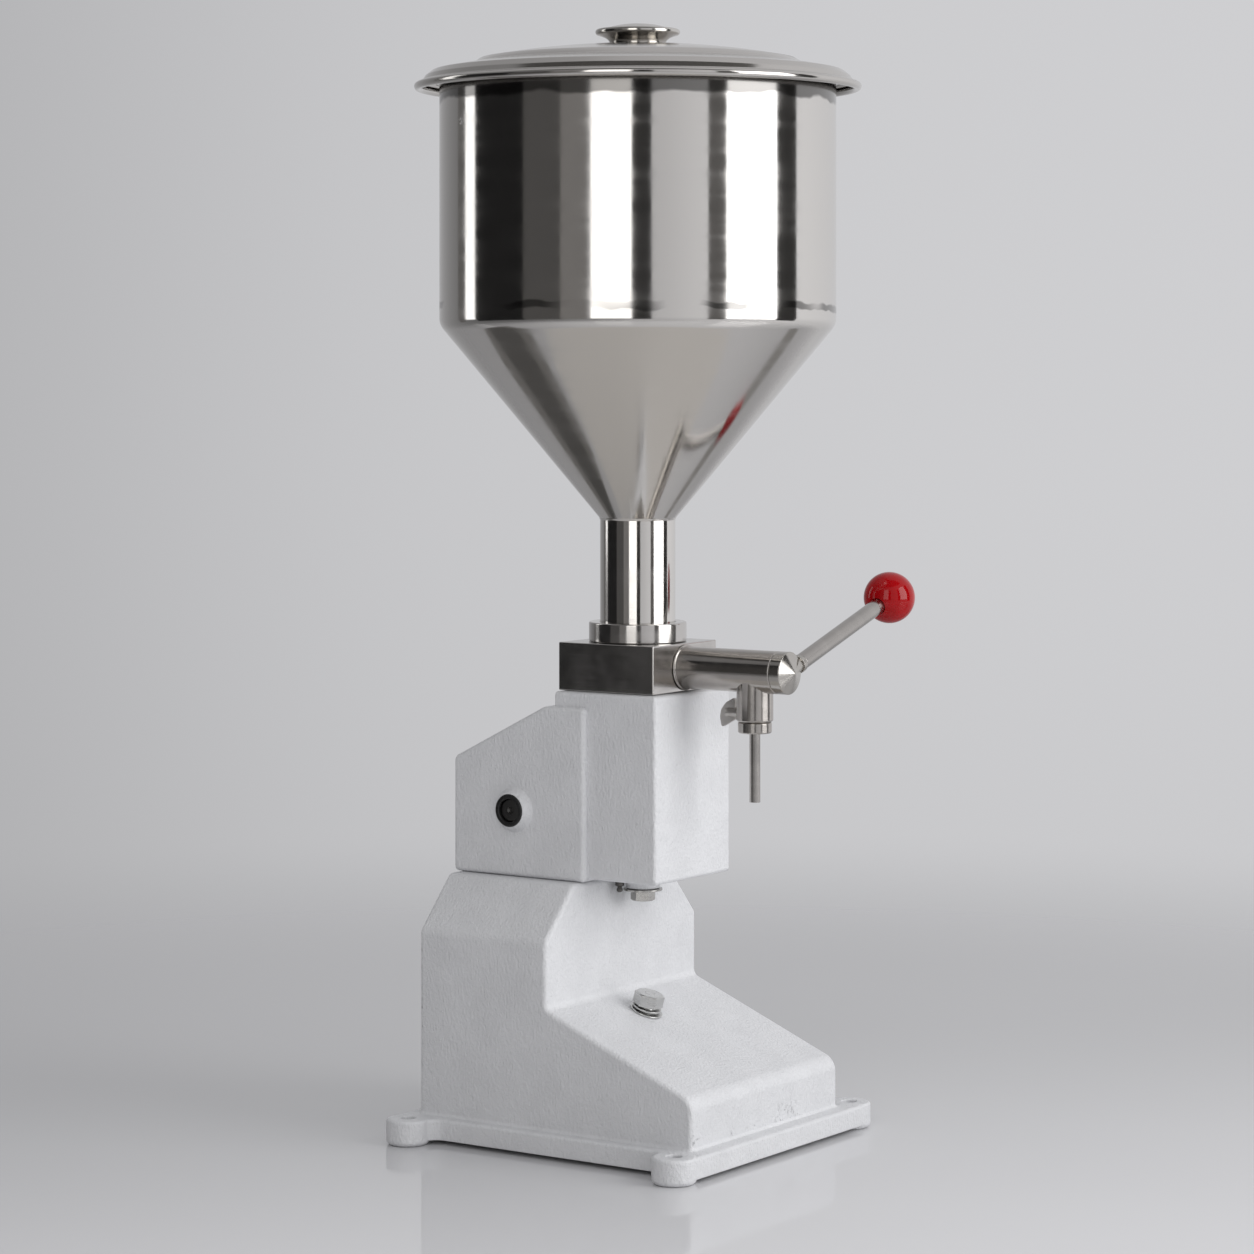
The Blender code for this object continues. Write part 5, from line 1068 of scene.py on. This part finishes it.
# Lid. Pressed from 1.2 mm stainless sheet: a shallow dome inside a flange that lies on the rim,
# with a step down and an edge rolled under. It is polished in rings.
dome_start = (0.1187, rim_z + 0.0104)
dome_corner = (0.1135, rim_z + 0.0139)
crown_z = rim_z + 0.0244
lid_sheet = 0.0012
lid_hole = 0.0027
edge_centre = (0.157, rim_z - 0.0058)
flange = ((0.1593, -0.0042), (0.1578, -0.0030), (0.1545, -0.0023), (0.1520, 0.0015), (0.147, 0.0054))
top_line = [*((radius, rim_z + rise) for radius, rise in flange),
            dome_start, dome_corner]
top_line = rounded(top_line, [0, 0.0015, 0.002, 0.003, 0.004, 0.0035, 0], 5)
for share in range(1, 25):
    radius = max(dome_corner[0] * (1 - share / 24), lid_hole)
    top_line.append((radius, crown_z - (crown_z - dome_corner[1]) * (radius / dome_corner[0]) ** 2))
top_line = [here for index, here in enumerate(top_line)
            if not index or (Vector(here) - Vector(top_line[index - 1])).length > 1e-5]
under_line = []
for index, point in enumerate(top_line):
    before, after = Vector(top_line[max(index - 1, 0)]), Vector(top_line[min(index + 1, len(top_line) - 1)])
    along = (after - before).normalized()
    under_line.append((point[0] - along.y * lid_sheet, point[1] + along.x * lid_sheet))
under_line[-1] = (lid_hole, crown_z - lid_sheet)
roll = arc(edge_centre, 0.003, math.radians(-200), math.radians(38), 18)
lid_line = roll + top_line[1:] + under_line[:0:-1]
lid_steel = hopper_material("polished_lid", 0.13, 0.3, 0.000008, (0.56, 0.54, 0.515))
piece("lid", turned(lid_line, 256), lid_steel, "lid", ["hopper_lid"])

# Knob. A turned knob with a waist and a flat rounded rim, held from below by a screw with a
# wide flat head under the lid.
knob_z = crown_z + seat_gap
knob_line = [(0, knob_z + 0.008), (0.0027, knob_z + 0.008), (0.0027, knob_z), (0.0200, knob_z)]
waist = [(0.0200, knob_z + 0.0006), (0.0204, knob_z + 0.0018), (0.0213, knob_z + 0.0031),
         (0.0230, knob_z + 0.0044), (0.0254, knob_z + 0.0055), (0.0280, knob_z + 0.0064)]
knob_line += rounded(waist, 0.02, 3)
knob_line += arc((0.0282, knob_z + 0.0087), 0.0022, -math.pi / 2 + 0.25, math.pi / 2, 12)
knob_line += rounded([(0.0262, knob_z + 0.01095), (0.0225, knob_z + 0.0114), (0.0190, knob_z + 0.0126),
                      (0.0125, knob_z + 0.0140), (0.0060, knob_z + 0.0147), (0, knob_z + 0.0148)], 0.03, 3)
knob_steel = steel("polished_knob", (0.58, 0.56, 0.53), 0.16, 0.04, 1500.0, 0.00002, along=0.45)[0]
piece("knob", turned(knob_line, 128), knob_steel, "lid", ["lid_knob"])
dressed(["lid_knob_screw"], zinc)

# Studio. A pale, half glossy floor, painted lighter in front, that fades into a pale room, brighter on the
# right. One tall soft lamp lights the front, weaker ones the left side and the back. Black and grey
# boards stand between them, so that the steel shows stripes; one hangs overhead. Cards that lie on
# the floor are painted shade and painted light that only reflections see.
camera_place = Vector((-2.23739, -1.52779, 0.56370))
facing = math.degrees(math.atan2(camera_place.y, camera_place.x))
stage_radius = 2.4

floor_mesh = bmesh.new()
bmesh.ops.create_circle(floor_mesh, cap_ends=True, radius=2.2, segments=128)
floor_data = bpy.data.meshes.new("studio_floor")
floor_mesh.to_mesh(floor_data)
floor_mesh.free()
floor = bpy.data.objects.new("studio_floor", floor_data)
bpy.context.scene.collection.objects.link(floor)
floor_paint, tree, shader, where = finish("floor_board", (0.60, 0.60, 0.61), 0.06)
cloud = placed(tree, handling, patch_size=0.5)["Mask"]
drive(shader, "Roughness", between(tree, cloud, 0.0, 1.0, 0.05, 0.08))
# painted light: the floor's colour is lighter towards the camera's side and darker behind the machine
painted_front_light = add(tree, "VectorMath", {0: where, 1: (-0.62, -0.78, 0.0)}, operation="DOT_PRODUCT").outputs["Value"]
painted_front_light = between(tree, painted_front_light, -0.4, 0.6)
drive(shader, "Base Color", tinted(tree, painted_front_light, (0.52, 0.52, 0.53), (0.80, 0.80, 0.815)))
out = add(tree, "VectorMath", {0: where}, operation="LENGTH").outputs["Value"]
drive(shader, "Alpha", between(tree, out, 0.75, 1.75, 1.0, 0.0))
floor_data.materials.append(floor_paint)

# boards, which only reflections see: their angles off the camera, their tone, and their inner and
# outer edge as radius and height
standing = ((stage_radius, 0.0), (stage_radius, 2.1))
boards = (
    ("camera_side", -3.0, 7.5, 0.04, standing),
    ("left_black", -104.0, -67.0, 0.002, standing),
    ("left_dark", -67.0, -43.5, 0.09, standing),
    ("left_grey", -43.5, -28.0, 0.26, standing),
    ("lamp_edge_left", 39.5, 50.0, 0.22, standing),
    ("lamp_edge_right", 85.0, 101.0, 0.07, standing),
    ("back_edge", -124.0, -117.0, 0.15, standing),
    # painted shade and painted light for reflections: the darker cards on the floor stand in for floor in
    # shade behind the machine, the pale floor_front card for floor lit by the key lamp in front
    ("floor_left", -118.0, -98.0, 0.118, ((0.30, 0.002), (0.8, 0.002))),
    ("floor_left_edge", -126.0, -118.0, 0.22, ((0.30, 0.002), (0.8, 0.002))),
    ("floor_left_end", -98.0, -90.0, 0.22, ((0.30, 0.002), (0.8, 0.002))),
    ("floor_right", 120.0, 128.0, 0.30, ((0.4, 0.002), (0.9, 0.002))),
    ("floor_front", -85.0, 85.0, 0.70, ((0.08, 0.002), (0.40, 0.002))),
    ("overhead", -90.0, 90.0, 0.12, ((0.02, 2.25), (1.5, 2.2))),
)
for name, start, end, tone, (inner, outside) in boards:
    material, tree, shader, where = finish("board_" + name, (tone, tone * 0.97, tone * 0.93), 0.9)
    cloth = noise(tree, where, 0.004, 2.0)
    drive(shader, "Roughness", between(tree, cloth, 0.0, 1.0, 0.85, 0.95))
    # those that lie on the floor show from above only, so that the floor doesn't reflect them
    if name.startswith("floor"):
        back = add(tree, "NewGeometry").outputs["Backfacing"]
        drive(shader, "Alpha", back)
    bm = bmesh.new()
    rows = []
    for step in range(33):
        turn = math.radians(facing + start + (end - start) * step / 32)
        spots = [(math.cos(turn) * radius, math.sin(turn) * radius, z) for radius, z in (inner, outside)]
        rows.append([bm.verts.new(spot) for spot in spots])
    for one, two in zip(rows, rows[1:]):
        bm.faces.new((one[0], two[0], two[1], one[1]))
    mesh = bpy.data.meshes.new("studio_" + name)
    bm.to_mesh(mesh)
    bm.free()
    board = bpy.data.objects.new("studio_" + name, mesh)
    bpy.context.scene.collection.objects.link(board)
    mesh.materials.append(material)
    for ray in ("camera", "diffuse", "transmission", "volume_scatter", "shadow"):
        setattr(board, "visible_" + ray, False)

lamps = (
    ("key_lamp", 51.0, 84.0, 2.3, 0.20, 2.3, 3.3, (1.0, 1.0, 1.0)),
    ("side_lamp", -26.0, -3.5, 2.3, 0.20, 2.3, 1.7, (1.0, 0.985, 0.965)),
    ("back_strip", -115.0, -105.0, 2.3, 0.30, 1.9, 1.5, (1.0, 1.0, 1.0)),
)
for name, start, end, radius, low, high, glow, colour in lamps:
    middle = math.radians(facing + (start + end) / 2)
    lamp = bpy.data.lights.new(name, "AREA")
    lamp.shape = "RECTANGLE"
    lamp.size = 2 * radius * math.tan(math.radians(end - start) / 2)
    lamp.size_y = high - low
    lamp.color = colour
    # an area lamp's surface shines at its power / (pi x its area)
    lamp.energy = glow * math.pi * lamp.size * lamp.size_y
    item = bpy.data.objects.new(name, lamp)
    bpy.context.scene.collection.objects.link(item)
    item.location = (radius * math.cos(middle), radius * math.sin(middle), (low + high) / 2)
    item.rotation_euler = (math.radians(90), 0, middle + math.radians(90))
    item.visible_camera = False

world = bpy.data.worlds.new("pale_room")
world.use_nodes = True
bpy.context.scene.world = world
tree = world.node_tree
toward = add(tree, "TexCoord").outputs["Generated"]
right = Vector((0.566, -0.824, 0.0))
side = add(tree, "VectorMath", {0: toward, 1: right}, operation="DOT_PRODUCT").outputs["Value"]
up = add(tree, "SeparateXYZ", {0: toward}).outputs[2]
level = plus(tree, times(tree, side, 0.36), 0.545)
level = plus(tree, level, between(tree, side, -0.20, -0.04, -0.028, 0.043))
level = sums(tree, "SUBTRACT", level, between(tree, side, 0.0, 0.3, 0.0, 0.043))
dim = between(tree, up, -0.30, -0.02, 0.86, 1.0)
level = times(tree, level, dim)
tone = add(tree, "CombineXYZ", {0: level, 1: level, 2: times(tree, level, 1.025)})
tree.links.new(tone.outputs[0], tree.nodes["Background"].inputs["Color"])
tree.nodes["Background"].inputs["Strength"].default_value = 1.0

camera_data = bpy.data.cameras.new("camera")
camera_data.lens = 108.6
camera_data.sensor_width = 36.0
camera_data.shift_y = -0.2219
camera_data.clip_start = 0.05
camera = bpy.data.objects.new("camera", camera_data)
bpy.context.scene.collection.objects.link(camera)
camera.location = camera_place
camera.rotation_euler = (math.radians(90), 0, math.radians(-55.51))
bpy.context.scene.camera = camera
bpy.context.scene.view_settings.view_transform = "Standard"
